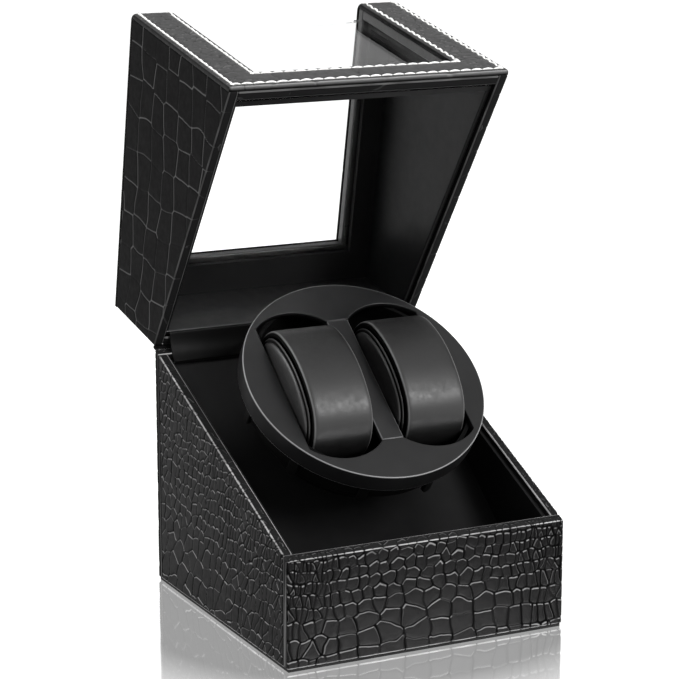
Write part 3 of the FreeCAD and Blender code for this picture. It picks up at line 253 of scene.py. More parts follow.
def close_mesh(piece: bpy.types.Object, distance: float = 0.002 * MM) -> None:
    """Merges doubled points and turns the faces outwards.

    Args:
        piece: the object whose mesh is closed.
        distance: how near two points are to count as one.
    """
    work = bmesh.new()
    work.from_mesh(piece.data)
    bmesh.ops.remove_doubles(work, verts=work.verts, dist=distance)
    bmesh.ops.dissolve_degenerate(work, edges=work.edges, dist=distance)
    bmesh.ops.recalc_face_normals(work, faces=work.faces)
    work.to_mesh(piece.data)
    work.free()


def apply_modifiers(piece: bpy.types.Object) -> None:
    """Turns what the modifiers show into the piece's own mesh.

    Args:
        piece: the object whose modifiers are applied and removed.
    """
    shown = piece.evaluated_get(bpy.context.evaluated_depsgraph_get())
    mesh = bpy.data.meshes.new_from_object(shown)
    piece.modifiers.clear()
    piece.data = mesh


def rounded_steps(radius: float, steps: int = 4) -> tuple[np.ndarray, np.ndarray]:
    """A quarter round, as distances from the end of a length and from its side.

    Args:
        radius: radius of the round.
        steps: number of steps round it.

    Returns:
        Distances in from the end, and insets from the side at each of them.
    """
    angle = np.linspace(0.06, 1.0, steps + 1) * math.pi / 2
    return radius * (1 - np.cos(angle)), radius * (1 - np.sin(angle))


def graded(low: float, high: float, step: float, edge: float) -> np.ndarray:
    """Places along a length, closer together at both rounded ends.

    Args:
        low: first place.
        high: last place.
        step: spacing in the middle.
        edge: length of each closer end.

    Returns:
        The places in order.
    """
    near = edge * np.array([0.0, 0.04, 0.16, 0.4, 0.7])
    count = max(2, int(math.ceil((high - low - 2 * edge) / step)) + 1)
    middle = np.linspace(low + edge, high - edge, count)
    return np.concatenate([low + near, middle, high - near[::-1]])


def soft_noise(u: np.ndarray, v: np.ndarray, length: float, seed: int) -> np.ndarray:
    """Smooth seeded noise between -1 and 1 over two lengths.

    Args:
        u: places along.
        v: places up.
        length: size of the noise's features.
        seed: seed of the noise.

    Returns:
        The noise at each place.
    """
    cells = 64
    table = np.random.default_rng(seed).uniform(-1, 1, (cells, cells))
    x, y = u / length + 7.3, v / length + 3.1
    column, row = np.floor(x).astype(int), np.floor(y).astype(int)
    a, b = x - column, y - row
    a, b = a * a * (3 - 2 * a), b * b * (3 - 2 * b)
    corner = [table[(row + j) % cells, (column + i) % cells] for j in (0, 1) for i in (0, 1)]
    low = corner[0] * (1 - a) + corner[1] * a
    high = corner[2] * (1 - a) + corner[3] * a
    return low * (1 - b) + high * b


# Pressed leather

class Ruler:
    """Counts cells of changing size along a length."""

    def __init__(self, sizes: Sequence[tuple[float, float]], low: float, high: float) -> None:
        """Lays the cells out.

        Args:
            sizes: pairs of a place and the cell size there.
            low: first place that is asked for.
            high: last place that is asked for.
        """
        self.at, self.pitch = (np.array(column) for column in zip(*sizes))
        reach = 3 * self.pitch.max()
        self.fine = np.linspace(low - reach, high + reach, 800)
        rate = 1 / self.size(self.fine)
        steps = np.diff(self.fine) * (rate[1:] + rate[:-1]) / 2
        self.counts = np.concatenate([[0.0], np.cumsum(steps)])

    def size(self, place: np.ndarray) -> np.ndarray:
        """Cell size at a place."""
        return np.interp(place, self.at, self.pitch)

    def count(self, place: np.ndarray) -> np.ndarray:
        """Number of cells up to a place."""
        return np.interp(place, self.fine, self.counts)

    def place(self, count: np.ndarray) -> np.ndarray:
        """Place at which a number of cells is reached."""
        return np.interp(count, self.counts, self.fine)


@dataclass(frozen=True)
class Scales:
    """Scales pressed into a leather: rows of cells with grooves between them."""

    seed: int
    cells: tuple[tuple[float, float], ...]
    rows: tuple[tuple[float, float], ...]
    crowding: tuple[tuple[float, float], ...] = ((0.0, 1.0),)
    scatter: tuple[float, float] = (0.5, 0.3)
    stagger: tuple[tuple[float, float], ...] = ((0.0, 1.0),)
    sway: float = 2.5 * MM
    sway_length: float = 38 * MM
    waver: float = 1.0 * MM
    waver_length: float = 5 * MM
    lean: float = 0.0
    depth: float = 0.4 * MM
    width: float = 0.38 * MM
    dome: float = 0.12 * MM
    faint: float = 0.75

    def press(self, along: np.ndarray, up: np.ndarray) -> tuple[np.ndarray, np.ndarray, np.ndarray]:
        """Depth of the pressing at each place.

        Args:
            along: places along the board.
            up: places up the board.

        Returns:
            Height of the surface, zero or below, how much of a groove each place is (also the mask of the
            painted groove shade), and how pale the lip beside the groove is painted: partly wear, partly
            painted highlight.
        """
        u = along + self.sway * soft_noise(along, up, self.sway_length, self.seed)
        u = u + self.waver * soft_noise(along, up, self.waver_length, self.seed + 3)
        u = u + self.lean * (up - up.mean())
        v = up + self.sway * soft_noise(along, up, self.sway_length, self.seed + 1)
        v = v + self.waver * soft_noise(along, up, self.waver_length, self.seed + 4)
        across = Ruler(self.cells, u.min(), u.max())
        upward = Ruler(self.rows, v.min(), v.max())
        column, row = across.count(u), upward.count(v)
        length, height = across.size(u), upward.size(v)
        rng = np.random.default_rng(self.seed + 2)
        levels = int(row.max()) + 4
        middles = upward.place(np.arange(levels) + 0.5)
        crowd = np.interp(middles, *zip(*self.crowding))
        shift = np.interp(middles, *zip(*self.stagger)) * rng.random(levels)
        jitter = np.array(self.scatter) * (rng.random((levels, 512, 2)) - 0.5)
        strengths = 1 - self.faint * rng.random(1024) ** 2
        near_x, near_y, keys = [], [], []
        for level_step in (-1, 0, 1):
            level = np.clip(np.floor(row).astype(int) + level_step, 0, levels - 1)
            x = column * crowd[level] + shift[level]
            for cell_step in (-1, 0, 1):
                cell = np.floor(x).astype(int) + cell_step
                moved = jitter[level, cell % 512]
                near_x.append((cell + 0.5 + moved[..., 0] - x) * length / crowd[level])
                near_y.append((level + 0.5 + moved[..., 1] - row) * height)
                keys.append(level * 37 + cell * 11)
        x, y, key = np.stack(near_x), np.stack(near_y), np.stack(keys)
        square = x * x + y * y
        first = square.argmin(0)[None]
        nearest = np.take_along_axis(square, first, 0)
        apart = np.hypot(x - np.take_along_axis(x, first, 0), y - np.take_along_axis(y, first, 0))
        border = (square - nearest) / np.maximum(2 * apart, 1e-9)
        np.put_along_axis(border, first, np.inf, 0)
        second = border.argmin(0)[None]
        soft = 0.6 * self.width
        gap = np.maximum(0, -soft * np.log(np.exp(-border / soft).sum(0)))
        pair = np.take_along_axis(key, first, 0)[0] + np.take_along_axis(key, second, 0)[0]
        strength = strengths[pair % 1024]
        # The groove mask sets the depth and also where the material paints shade
        groove = strength * np.exp(-(gap / self.width) ** 2)
        height = -self.depth * groove - self.dome * strength * np.exp(-gap / (4 * self.width))
        rise = np.take_along_axis(y, second, 0)[0] - np.take_along_axis(y, first, 0)[0]
        reach = np.take_along_axis(apart, second, 0)[0]
        lip = strength * np.exp(-((gap - 1.25 * self.width) / (0.75 * self.width)) ** 2)
        # Lips that face up are paler than those that face down: painted highlight, partly wear
        return height, groove, lip * np.clip(0.2 + 0.9 * rise / np.maximum(reach, 1e-9), 0.08, 1.0)


# Boards

class Side(Enum):
    """Where a board stands in its box: its long axis, its outward axis and the outward sign."""

    FRONT = (0, 1, -1)
    BACK = (0, 1, 1)
    LEFT = (1, 0, -1)
    RIGHT = (1, 0, 1)


def rounded_loops(corners: np.ndarray, radius: float, counts: Sequence[int],
                  inset: np.ndarray) -> tuple[np.ndarray, ...]:
    """Cross-sections of a board with rounded corners, one for each station.

    The loop runs along the bottom, up the outside, over the top and down the inside.

    Args:
        corners: outer low, outer high, inner high and inner low corner of each station.
        radius: corner radius.
        counts: number of points on the outside, top, inside and bottom.
        inset: how far each whole station is drawn in.

    Returns:
        Points, outward normals, distance walked along the loop from the foot of the outside, which
        part of the loop each point is on (0 to 3 for the sides, -1 for the inner corners), and how
        near each point is to the crest of a corner.
    """
    ahead = np.roll(corners, -1, 1) - corners
    length = np.linalg.norm(ahead, axis=2, keepdims=True)
    ahead = ahead / length
    normal = np.stack([-ahead[..., 1], ahead[..., 0]], -1)
    behind = np.roll(normal, 1, 1)
    cosine = (normal * behind).sum(2, keepdims=True)
    tangent = radius * np.sqrt((1 - cosine) / (1 + cosine))
    points, normals, parts, crests = [], [], [], []
    for side in (3, 0, 1, 2):
        after = (side + 1) % 4
        start = corners[:, side] + ahead[:, side] * tangent[:, side]
        room = length[:, side] - tangent[:, side] - tangent[:, after]
        margin = 0.5 * radius
        for share in np.linspace(0, 1, counts[side]):
            points.append(start + ahead[:, side] * (margin + (room - 2 * margin) * share))
            normals.append(normal[:, side])
            parts.append(side)
            crests.append(0.0)
        middle = corners[:, after] - ahead[:, side] * tangent[:, after] - normal[:, side] * radius
        for share in np.linspace(0, 1, 5):
            lean = normal[:, side] * (1 - share) + normal[:, after] * share
            lean = lean / np.linalg.norm(lean, axis=1, keepdims=True)
            points.append(middle + lean * radius)
            normals.append(lean)
            parts.append(after if side == 3 else side if side == 0 else -1)
            crests.append(math.sqrt(max(0.0, math.sin(math.pi * share))))
    points, normals = np.stack(points, 1), np.stack(normals, 1)
    points = points - normals * inset[:, None, None]
    steps = np.linalg.norm(np.diff(points, axis=1), axis=2)
    walked = np.concatenate([np.zeros((len(points), 1)), np.cumsum(steps, 1)], 1)
    foot = walked[:, [counts[3] + 2]]
    return points, normals, walked - foot, np.array(parts), np.array(crests)


@dataclass
class Board:
    """One board of a box with rounded edges, plain or wrapped in pressed leather."""

    node: str
    place: Place
    side: Side
    rim: Callable[[np.ndarray], np.ndarray]
    rim_up: bool
    edge: float = 0.9 * MM
    step: float = 8 * MM
    scales: Scales | None = None
    rim_share: float = 0.55
    end_shade: float = 0.6
    # Share of the lip's pale mark: painted highlight, partly wear
    lip_highlight_share: float = 0.62
    rub_length: float = 9 * MM
    span: tuple[Sequence[float], Sequence[float]] | None = None
    label: str = "wrap"

    def build(self) -> bpy.types.Object:
        """Sweeps the cross-section along the board and presses the leather.

        Returns:
            The board's object.
        """
        low, high = (np.array(corner) for corner in self.span or self.place.box(self.node))
        along, out, sign = self.side.value
        ends, inset_at_end = rounded_steps(self.edge)
        count = max(3, int((high[along] - low[along]) / self.step))
        middle = np.linspace(low[along] + 1.5 * self.edge, high[along] - 1.5 * self.edge, count)
        stations = np.concatenate([low[along] + ends, middle, high[along] - ends[::-1]])
        inset = np.concatenate([inset_at_end, np.zeros(count), inset_at_end[::-1]])
        outer = high[out] if sign > 0 else low[out]
        thickness = high[out] - low[out]
        corners = self.corners(stations, low, high, outer, outer - sign * thickness)
        rows = 3 if self.scales is None else int((high[2] - low[2]) / self.step)
        rim_rows = 3 if self.scales is None else 9
        counts = [rows, rim_rows, 3, rim_rows]
        points, normals, walked, parts, crests = rounded_loops(corners, self.edge, counts, inset)
        relief = np.zeros(points.shape[:2])
        groove = np.zeros(points.shape[:2])
        worn = np.zeros(points.shape[:2])
        rim_part = 1 if self.rim_up else 3
        if self.scales is not None:
            up = walked + corners[:, :1, 0]
            lengthwise = np.broadcast_to(stations[:, None], up.shape) - low[along]
            relief, groove, worn = self.scales.press(lengthwise, up - low[2])
            share = np.select([parts == 0, parts == rim_part], [1.0, self.rim_share], 0.0)
            # Groove shading paints shade in the grooves; the lip mark paints highlight on their lips, partly
            # wear
            relief, groove, worn = relief * share, groove * share, self.lip_highlight_share * worn * share
            # Rounded corners are paler along their crests: painted highlight, partly wear
            rub = soft_noise(lengthwise, up, self.rub_length, self.scales.seed + 6)
            worn = np.maximum(worn, crests * (0.75 + 0.25 * rub))
            groove[[0, -1]] = self.end_shade
        points = points + normals * relief[..., None]
        drawn = np.empty(points.shape[:2] + (3,))
        drawn[..., along] = stations[:, None]
        drawn[..., out] = outer + sign * points[..., 1]
        drawn[..., 2] = points[..., 0]
        draft = MeshDraft()
        # The rim mark gives the rim band a lighter colour: painted highlight
        table = draft.add(drawn, groove=groove, worn=worn, rim=(parts == rim_part)[None].astype(float))
        draft.grid(table, wrap=True)
        draft.join([table[0].tolist(), table[-1].tolist()], smooth=False)
        return draft.build(f"{self.node}_{self.label}", self.place)

    def corners(self, stations: np.ndarray, low: np.ndarray, high: np.ndarray,
                outer: float, inner: float) -> np.ndarray:
        """Height and outward place of the four corners at each station.

        Args:
            stations: places along the board.
            low: lowest corner of the board's box.
            high: highest corner of the board's box.
            outer: place of the outer face.
            inner: place of the inner face.

        Returns:
            Corners in the order that rounded_loops takes.
        """
        lengthwise = self.side.value[0] == 1
        depth_out = stations if lengthwise else np.full_like(stations, outer)
        depth_in = stations if lengthwise else np.full_like(stations, inner)
        flat = np.full_like(stations, low[2] if self.rim_up else high[2])
        if self.rim_up:
            gap = self.rim(high[1]) - high[2]
            heights = [flat, self.rim(depth_out) - gap, self.rim(depth_in) - gap, flat]
        else:
            gap = low[2] - self.rim(low[1])
            heights = [self.rim(depth_out) + gap, flat, flat, self.rim(depth_in) + gap]
        outward = np.array([0.0, 0.0, -1.0, -1.0]) * abs(outer - inner)
        return np.stack([np.stack(heights, 1), np.broadcast_to(outward, (len(stations), 4))], -1)


def offset_loop(loop: np.ndarray, distance: float) -> np.ndarray:
    """A closed outline moved to its left, corner by corner.

    Args:
        loop: corners of the outline.
        distance: how far it moves, to the left of its own direction.

    Returns:
        The moved outline.
    """
    ahead = np.roll(loop, -1, 0) - loop
    ahead = ahead / np.linalg.norm(ahead, axis=1, keepdims=True)
    left = np.stack([-ahead[:, 1], ahead[:, 0]], 1)
    before = np.roll(left, 1, 0)
    bisector = left + before
    return loop + distance * 2 * bisector / (bisector ** 2).sum(1, keepdims=True)


def at_level(loop: np.ndarray, level: float) -> np.ndarray:
    """A flat outline laid at a height."""
    return np.hstack([loop, np.full((len(loop), 1), level)])


def plate_draft(loops: Sequence[np.ndarray], low: float, high: float, edge: float,
                draft: MeshDraft | None = None) -> MeshDraft:
    """A flat plate with rounded upper edges, drawn in x and y.

    Args:
        loops: outline counter-clockwise, then holes clockwise.
        low: height of the underside.
        high: height of the top.
        edge: radius of the upper edges.
        draft: draft to add to, or none for a new one.

    Returns:
        The draft.
    """
    draft = draft or MeshDraft()
    tops, bottoms = [], []
    angles = np.linspace(0, math.pi / 2, 5)
    # Pale crest on the rounded edge (painted highlight, partly wear) and little reflection on the sides
    # (painted shade)
    worn = np.concatenate([np.sin(2 * angles), [0.0, 0.0]])
    flank = np.concatenate([np.zeros_like(angles), [1.0, 1.0]])
    for loop in loops:
        rings = []
        for angle in angles:
            ring = offset_loop(loop, edge * (1 - math.sin(angle)))
            rings.append(at_level(ring, high - edge * (1 - math.cos(angle))))
        rings += [at_level(loop, high - 1.6 * edge), at_level(loop, low)]
        table = draft.add(np.stack(rings), worn=worn[:, None], flank=flank[:, None])
        draft.grid(table, wrap=True)
        tops.append(table[0])
        bottoms.append(table[-1])
    draft.fill(tops)
    draft.fill(bottoms)
    return draft


# Finishes

class ShaderSheet:
    """A material's node tree, with short ways to add the nodes that the finishes use."""

    def __init__(self, name: str, **inputs: Any) -> None:
        """Starts a material with one surface shader.

        Args:
            name: name of the material.
            inputs: values for the shader's own sockets, with _ for spaces.
        """
        self.material = bpy.data.materials.new(name)
        self.material.use_nodes = True
        self.tree = self.material.node_tree
        self.tree.nodes.clear()
        self.surface = self.node("ShaderNodeBsdfPrincipled")
        for key, value in inputs.items():
            self.feed(self.surface.inputs[key.replace("_", " ")], value)
        output = self.node("ShaderNodeOutputMaterial")
        self.tree.links.new(self.surface.outputs[0], output.inputs[0])
        self.place = self.node("ShaderNodeTexCoord").outputs["Object"]

    def node(self, kind: str, **settings: Any) -> bpy.types.Node:
        """Adds a node.

        Args:
            kind: the node's type.
            settings: properties to set on it.

        Returns:
            The node.
        """
        made = self.tree.nodes.new(kind)
        for key, value in settings.items():
            setattr(made, key, value)
        return made

    def feed(self, socket: bpy.types.NodeSocket, value: Any) -> None:
        """Links another node's socket, or sets a plain value.

        Args:
            socket: the socket that is fed.
            value: the other socket, or the value.
        """
        if isinstance(value, bpy.types.NodeSocket):
            self.tree.links.new(value, socket)
        elif isinstance(value, tuple) and len(value) == 3 and socket.type == "RGBA":
            socket.default_value = (*value, 1.0)
        else:
            socket.default_value = value

    def stretched(self, scale: tuple[float, float, float]) -> bpy.types.NodeSocket:
        """Object coordinates stretched along the axes.

        Args:
            scale: factor for each axis.

        Returns:
            The coordinates' socket.
        """
        mapping = self.node("ShaderNodeMapping")
        self.feed(mapping.inputs["Vector"], self.place)
        self.feed(mapping.inputs["Scale"], scale)
        return mapping.outputs[0]

    def noise(self, size: float, detail: float = 4.0, rough: float = 0.55,
              at: bpy.types.NodeSocket | None = None) -> bpy.types.NodeSocket:
        """Noise with features of a size.

        Args:
            size: length of a feature.
            detail: number of octaves.
            rough: share of the finer octaves.
            at: coordinates, or none for the object's own.

        Returns:
            The noise value's socket.
        """
        made = self.node("ShaderNodeTexNoise")
        self.feed(made.inputs["Vector"], at or self.place)
        self.feed(made.inputs["Scale"], 1 / size)
        self.feed(made.inputs["Detail"], detail)
        self.feed(made.inputs["Roughness"], rough)
        return made.outputs["Fac"]

    def cells(self, size: float, feature: str = "F1",
              at: bpy.types.NodeSocket | None = None) -> bpy.types.NodeSocket:
        """Distance in a cell pattern.

        Args:
            size: length of a cell.
            feature: which distance is given.
            at: coordinates, or none for the object's own.

        Returns:
            The distance's socket.
        """
        made = self.node("ShaderNodeTexVoronoi", feature=feature)
        self.feed(made.inputs["Vector"], at or self.place)
        self.feed(made.inputs["Scale"], 1 / size)
        return made.outputs["Distance"]

    def ramp(self, value: bpy.types.NodeSocket, low: float, high: float,
             start: float, end: float) -> bpy.types.NodeSocket:
        """A value between two limits carried to two others.

        Args:
            value: the value's socket.
            low: value that gives start.
            high: value that gives end.
            start: result at low.
            end: result at high.

        Returns:
            The result's socket.
        """
        made = self.node("ShaderNodeMapRange")
        for key, number in (("From Min", low), ("From Max", high), ("To Min", start), ("To Max", end)):
            self.feed(made.inputs[key], number)
        self.feed(made.inputs["Value"], value)
        return made.outputs["Result"]

    def mix(self, share: bpy.types.NodeSocket, first: Any, second: Any) -> bpy.types.NodeSocket:
        """Two colours mixed by a share.

        Args:
            share: share of the second colour.
            first: first colour, or its socket.
            second: second colour, or its socket.

        Returns:
            The mixed colour's socket.
        """
        made = self.node("ShaderNodeMix", data_type="RGBA")
        self.feed(made.inputs[0], share)
        self.feed(made.inputs[6], first)
        self.feed(made.inputs[7], second)
        return made.outputs[2]

    def sum(self, first: Any, second: Any, how: str = "ADD") -> bpy.types.NodeSocket:
        """Two values joined by a kind of arithmetic.

        Args:
            first: first value, or its socket.
            second: second value, or its socket.
            how: the kind of arithmetic.

        Returns:
            The result's socket.
        """
        made = self.node("ShaderNodeMath", operation=how)
        self.feed(made.inputs[0], first)
        self.feed(made.inputs[1], second)
        return made.outputs[0]

    def mark(self, name: str) -> bpy.types.NodeSocket:
        """A value that the mesh carries per point."""
        return self.node("ShaderNodeAttribute", attribute_name=name).outputs["Fac"]

    def bump(self, height: bpy.types.NodeSocket, depth: float, strength: float = 1.0,
             under: bpy.types.NodeSocket | None = None) -> bpy.types.NodeSocket:
        """A bumped normal, which is also given to the surface.

        Args:
            height: height between 0 and 1.
            depth: length that a height of 1 stands for.
            strength: share of the bump.
            under: normal that this bump lies on.

        Returns:
            The normal's socket.
        """
        made = self.node("ShaderNodeBump")
        self.feed(made.inputs["Height"], height)
        self.feed(made.inputs["Distance"], depth)
        self.feed(made.inputs["Strength"], strength)
        if under is not None:
            self.feed(made.inputs["Normal"], under)
        self.feed(self.surface.inputs["Normal"], made.outputs[0])
        return made.outputs[0]

    def set(self, **inputs: Any) -> None:
        """Feeds sockets of the surface shader, with _ for spaces."""
        for key, value in inputs.items():
            self.feed(self.surface.inputs[key.replace("_", " ")], value)


MATERIALS: dict[str, bpy.types.Material] = {}


@dataclass(frozen=True)
class Finish:
    """A finish that is made into a material once."""

    name: str

    def material(self) -> bpy.types.Material:
        """The finish's material, drawn the first time that it is asked for.

        Returns:
            The material.
        """
        if self.name not in MATERIALS:
            MATERIALS[self.name] = self.make().material
        return MATERIALS[self.name]

    def make(self) -> ShaderSheet:
        """Draws the node tree; each kind of finish has its own."""
        raise NotImplementedError


@dataclass(frozen=True)
class Leather(Finish):
    """Coated leather: pores and fine creases, painted shade in the grooves, and paler lips, edges and rim
    band that are painted highlight, the lips and edges partly wear too.
    """

    face: Colour = (0.006, 0.0058, 0.006)
    pale: Colour = (0.009, 0.0088, 0.009)
    # Painted shade in the grooves; a pale value here paints highlight lines along them instead
    groove: Colour = (0.002, 0.002, 0.002)
    # Pale lips and edges: partly wear, partly painted highlight
    worn: Colour = (0.45, 0.447, 0.45)
    # The rim band, lighter than the face: painted highlight
    rim: Colour = (0.012, 0.012, 0.0122)
    roughness: float = 0.36
    specular: float = 0.06
    grain: float = 0.55 * MM
    grain_depth: float = 0.018 * MM

    def make(self) -> ShaderSheet:
        """Leather with its grain in bump, and its tone from the pressed grooves, with painted shade in them
        and painted highlight on their lips, the edges and the rim.

        Returns:
            The finished sheet.
        """
        sheet = ShaderSheet(self.name, Specular_IOR_Level=self.specular)
        cloudy = sheet.noise(14 * MM, 5)
        tone = sheet.mix(sheet.ramp(cloudy, 0.35, 0.7, 0.0, 1.0), self.face, self.pale)
        # Painted highlight on the rim band and on pale lips and edges (partly wear), and painted shade in
        # the grooves
        tone = sheet.mix(sheet.mark("rim"), tone, self.rim)
        tone = sheet.mix(sheet.ramp(sheet.mark("worn"), 0.1, 0.9, 0.0, 1.0), tone, self.worn)
        tone = sheet.mix(sheet.ramp(sheet.mark("groove"), 0.25, 0.9, 0.0, 1.0), tone, self.groove)
        sheet.set(Base_Color=tone)
        patchy = sheet.ramp(sheet.noise(3 * MM, 3), 0.3, 0.7, -0.05, 0.07)
        sunk = sheet.ramp(sheet.mark("groove"), 0.2, 0.8, self.roughness, self.roughness + 0.3)
        sheet.set(Roughness=sheet.sum(patchy, sunk))
        # The grooves lose most of their reflection: painted shade
        shaded = sheet.ramp(sheet.mark("groove"), 0.1, 0.7, 0.0, 1.0)
        sheet.set(Specular_Tint=sheet.mix(shaded, (1.0, 1.0, 1.0), (0.02, 0.02, 0.02)))
        pores = sheet.cells(self.grain, "SMOOTH_F1")
        creases = sheet.noise(2.2 * MM, 3, 0.5)
        height = sheet.sum(pores, sheet.sum(creases, 1.6, "MULTIPLY"))
        sheet.bump(height, self.grain_depth)
        return sheet


@dataclass(frozen=True)
class Lining(Finish):
    """Smooth black lining film over a board, faintly uneven."""

    face: Colour = (0.006, 0.006, 0.0062)
    pale: Colour = (0.009, 0.009, 0.0092)
    roughness: float = 0.4
    specular: float = 0.085

    def make(self) -> ShaderSheet:
        """A satin film with a fine print of the board beneath.

        Returns:
            The finished sheet.
        """
        sheet = ShaderSheet(self.name, Specular_IOR_Level=self.specular)
        cloudy = sheet.ramp(sheet.noise(30 * MM, 3), 0.3, 0.7, 0.0, 1.0)
        sheet.set(Base_Color=sheet.mix(cloudy, self.face, self.pale))
        patchy = sheet.ramp(sheet.noise(6 * MM, 3), 0.3, 0.7, -0.03, 0.05)
        sheet.set(Roughness=sheet.sum(patchy, self.roughness))
        sheet.bump(sheet.sum(sheet.noise(0.5 * MM, 2), sheet.noise(9 * MM, 2)), 0.02 * MM)
        return sheet


@dataclass(frozen=True)
class Plastic(Finish):
    """Moulded plastic with a fine spark texture, faint rubbing, pale edge crests (partly wear, partly
    painted highlight) and painted shade on the sides' reflection.
    """

    face: Colour = (0.008, 0.008, 0.0083)
    pale: Colour = (0.011, 0.011, 0.0114)
    # Pale edge crests: partly wear, partly painted highlight
    worn: Colour = (0.13, 0.13, 0.133)
    roughness: float = 0.36
    specular: float = 0.25
    # Reflection left on the sides: painted shade
    shaded_flank_specular: float = 0.02
    grain: float = 0.3 * MM
    grain_depth: float = 0.012 * MM

    def make(self) -> ShaderSheet:
        """Plastic with a spark-eroded texture.

        Returns:
            The finished sheet.
        """
        sheet = ShaderSheet(self.name)
        rubbed = sheet.ramp(sheet.noise(18 * MM, 5), 0.4, 0.72, 0.0, 1.0)
        tone = sheet.mix(rubbed, self.face, self.pale)
        # Pale edge crests (painted highlight, partly wear) and sides with less reflection (painted shade)
        sheet.set(Base_Color=sheet.mix(sheet.mark("worn"), tone, self.worn))
        gloss = sheet.ramp(sheet.mark("flank"), 0.0, 1.0, self.specular, self.shaded_flank_specular)
        sheet.set(Specular_IOR_Level=gloss)
        patchy = sheet.ramp(sheet.noise(8 * MM, 4), 0.3, 0.7, -0.04, 0.05)
        sheet.set(Roughness=sheet.sum(patchy, self.roughness))
        sheet.bump(sheet.noise(self.grain, 2), self.grain_depth)
        return sheet


@dataclass(frozen=True)
class Metal(Finish):
    """Drawn or turned metal with fine lines and a little tarnish."""

    face: Colour = (0.56, 0.56, 0.55)
    pale: Colour = (0.68, 0.68, 0.67)
    roughness: float = 0.28
    lines: tuple[float, float, float] = (0.08, 1.0, 1.0)

    def make(self) -> ShaderSheet:
        """Metal with lines drawn along one axis.

        Returns:
            The finished sheet.
        """
        sheet = ShaderSheet(self.name, Metallic=1.0)
        drawn = sheet.noise(0.25 * MM, 3, 0.6, sheet.stretched(self.lines))
        dull = sheet.noise(5 * MM, 4)
        sheet.set(Base_Color=sheet.mix(sheet.ramp(dull, 0.35, 0.7, 0.0, 1.0), self.face, self.pale))
        sheet.set(Roughness=sheet.sum(sheet.ramp(drawn, 0.3, 0.7, -0.06, 0.1), self.roughness))
        sheet.bump(drawn, 0.006 * MM)
        return sheet


@dataclass(frozen=True)
class Clear(Finish):
    """Clear acrylic sheet with faint wiping streaks."""

    tint: Colour = (0.985, 0.988, 0.988)
    roughness: float = 0.0
    bending: float = 1.16

    def make(self) -> ShaderSheet:
        """Acrylic that lets nearly all light through.

        Returns:
            The finished sheet.
        """
        sheet = ShaderSheet(self.name, Base_Color=self.tint, IOR=self.bending, Transmission_Weight=1.0)
        streak = sheet.noise(6 * MM, 3, 0.5, sheet.stretched((1.0, 0.15, 0.15)))
        sheet.set(Roughness=sheet.ramp(streak, 0.35, 0.7, self.roughness, self.roughness + 0.02))
        return sheet


@dataclass(frozen=True)
class Fibre(Finish):
    """Fibre board or felt: matt, with fibres of two tones."""

    face: Colour = (0.16, 0.11, 0.07)
    pale: Colour = (0.24, 0.17, 0.11)
    fibre: float = 0.9 * MM
    depth: float = 0.08 * MM

    def make(self) -> ShaderSheet:
        """Short fibres pressed together.

        Returns:
            The finished sheet.
        """
        sheet = ShaderSheet(self.name, Specular_IOR_Level=0.2)
        fibres = sheet.noise(self.fibre, 6, 0.7, sheet.stretched((1.0, 0.45, 1.0)))
        clumps = sheet.noise(12 * MM, 3)
        share = sheet.ramp(sheet.sum(fibres, clumps), 0.8, 1.25, 0.0, 1.0)
        sheet.set(Base_Color=sheet.mix(share, self.face, self.pale))
        sheet.set(Roughness=sheet.ramp(fibres, 0.3, 0.7, 0.8, 0.95))
        sheet.bump(fibres, self.depth)
        return sheet


@dataclass(frozen=True)
class Thread(Finish):
    """Twisted white sewing thread."""

    face: Colour = (0.78, 0.775, 0.76)
    pale: Colour = (0.95, 0.95, 0.94)

    def make(self) -> ShaderSheet:
        """Thread with its plies in bump.

        Returns:
            The finished sheet.
        """
        sheet = ShaderSheet(self.name, Specular_IOR_Level=0.3, Sheen_Weight=0.2)
        plies = sheet.noise(0.35 * MM, 3)
        sheet.set(Base_Color=sheet.mix(sheet.ramp(plies, 0.3, 0.65, 0.0, 1.0), self.face, self.pale))
        sheet.set(Roughness=sheet.ramp(plies, 0.3, 0.7, 0.55, 0.75))
        sheet.bump(plies, 0.08 * MM)
        return sheet


@dataclass(frozen=True)
class CircuitBoard(Finish):
    """Green solder mask over copper runs."""

    face: Colour = (0.01, 0.07, 0.03)
    pale: Colour = (0.03, 0.14, 0.06)

    def make(self) -> ShaderSheet:
        """Solder mask with paler bands where the copper runs under it.

        Returns:
            The finished sheet.
        """
        sheet = ShaderSheet(self.name, Specular_IOR_Level=0.5)
        runs = sheet.node("ShaderNodeTexBrick")
        sheet.feed(runs.inputs["Vector"], sheet.place)
        sheet.feed(runs.inputs["Scale"], 1 / (14 * MM))
        sheet.feed(runs.inputs["Mortar Size"], 0.03)
        copper = runs.outputs["Fac"]
        sheet.set(Base_Color=sheet.mix(copper, self.face, self.pale))
        sheet.set(Roughness=sheet.ramp(sheet.noise(2 * MM, 3), 0.3, 0.7, 0.25, 0.4))
        sheet.bump(copper, 0.03 * MM)
        return sheet


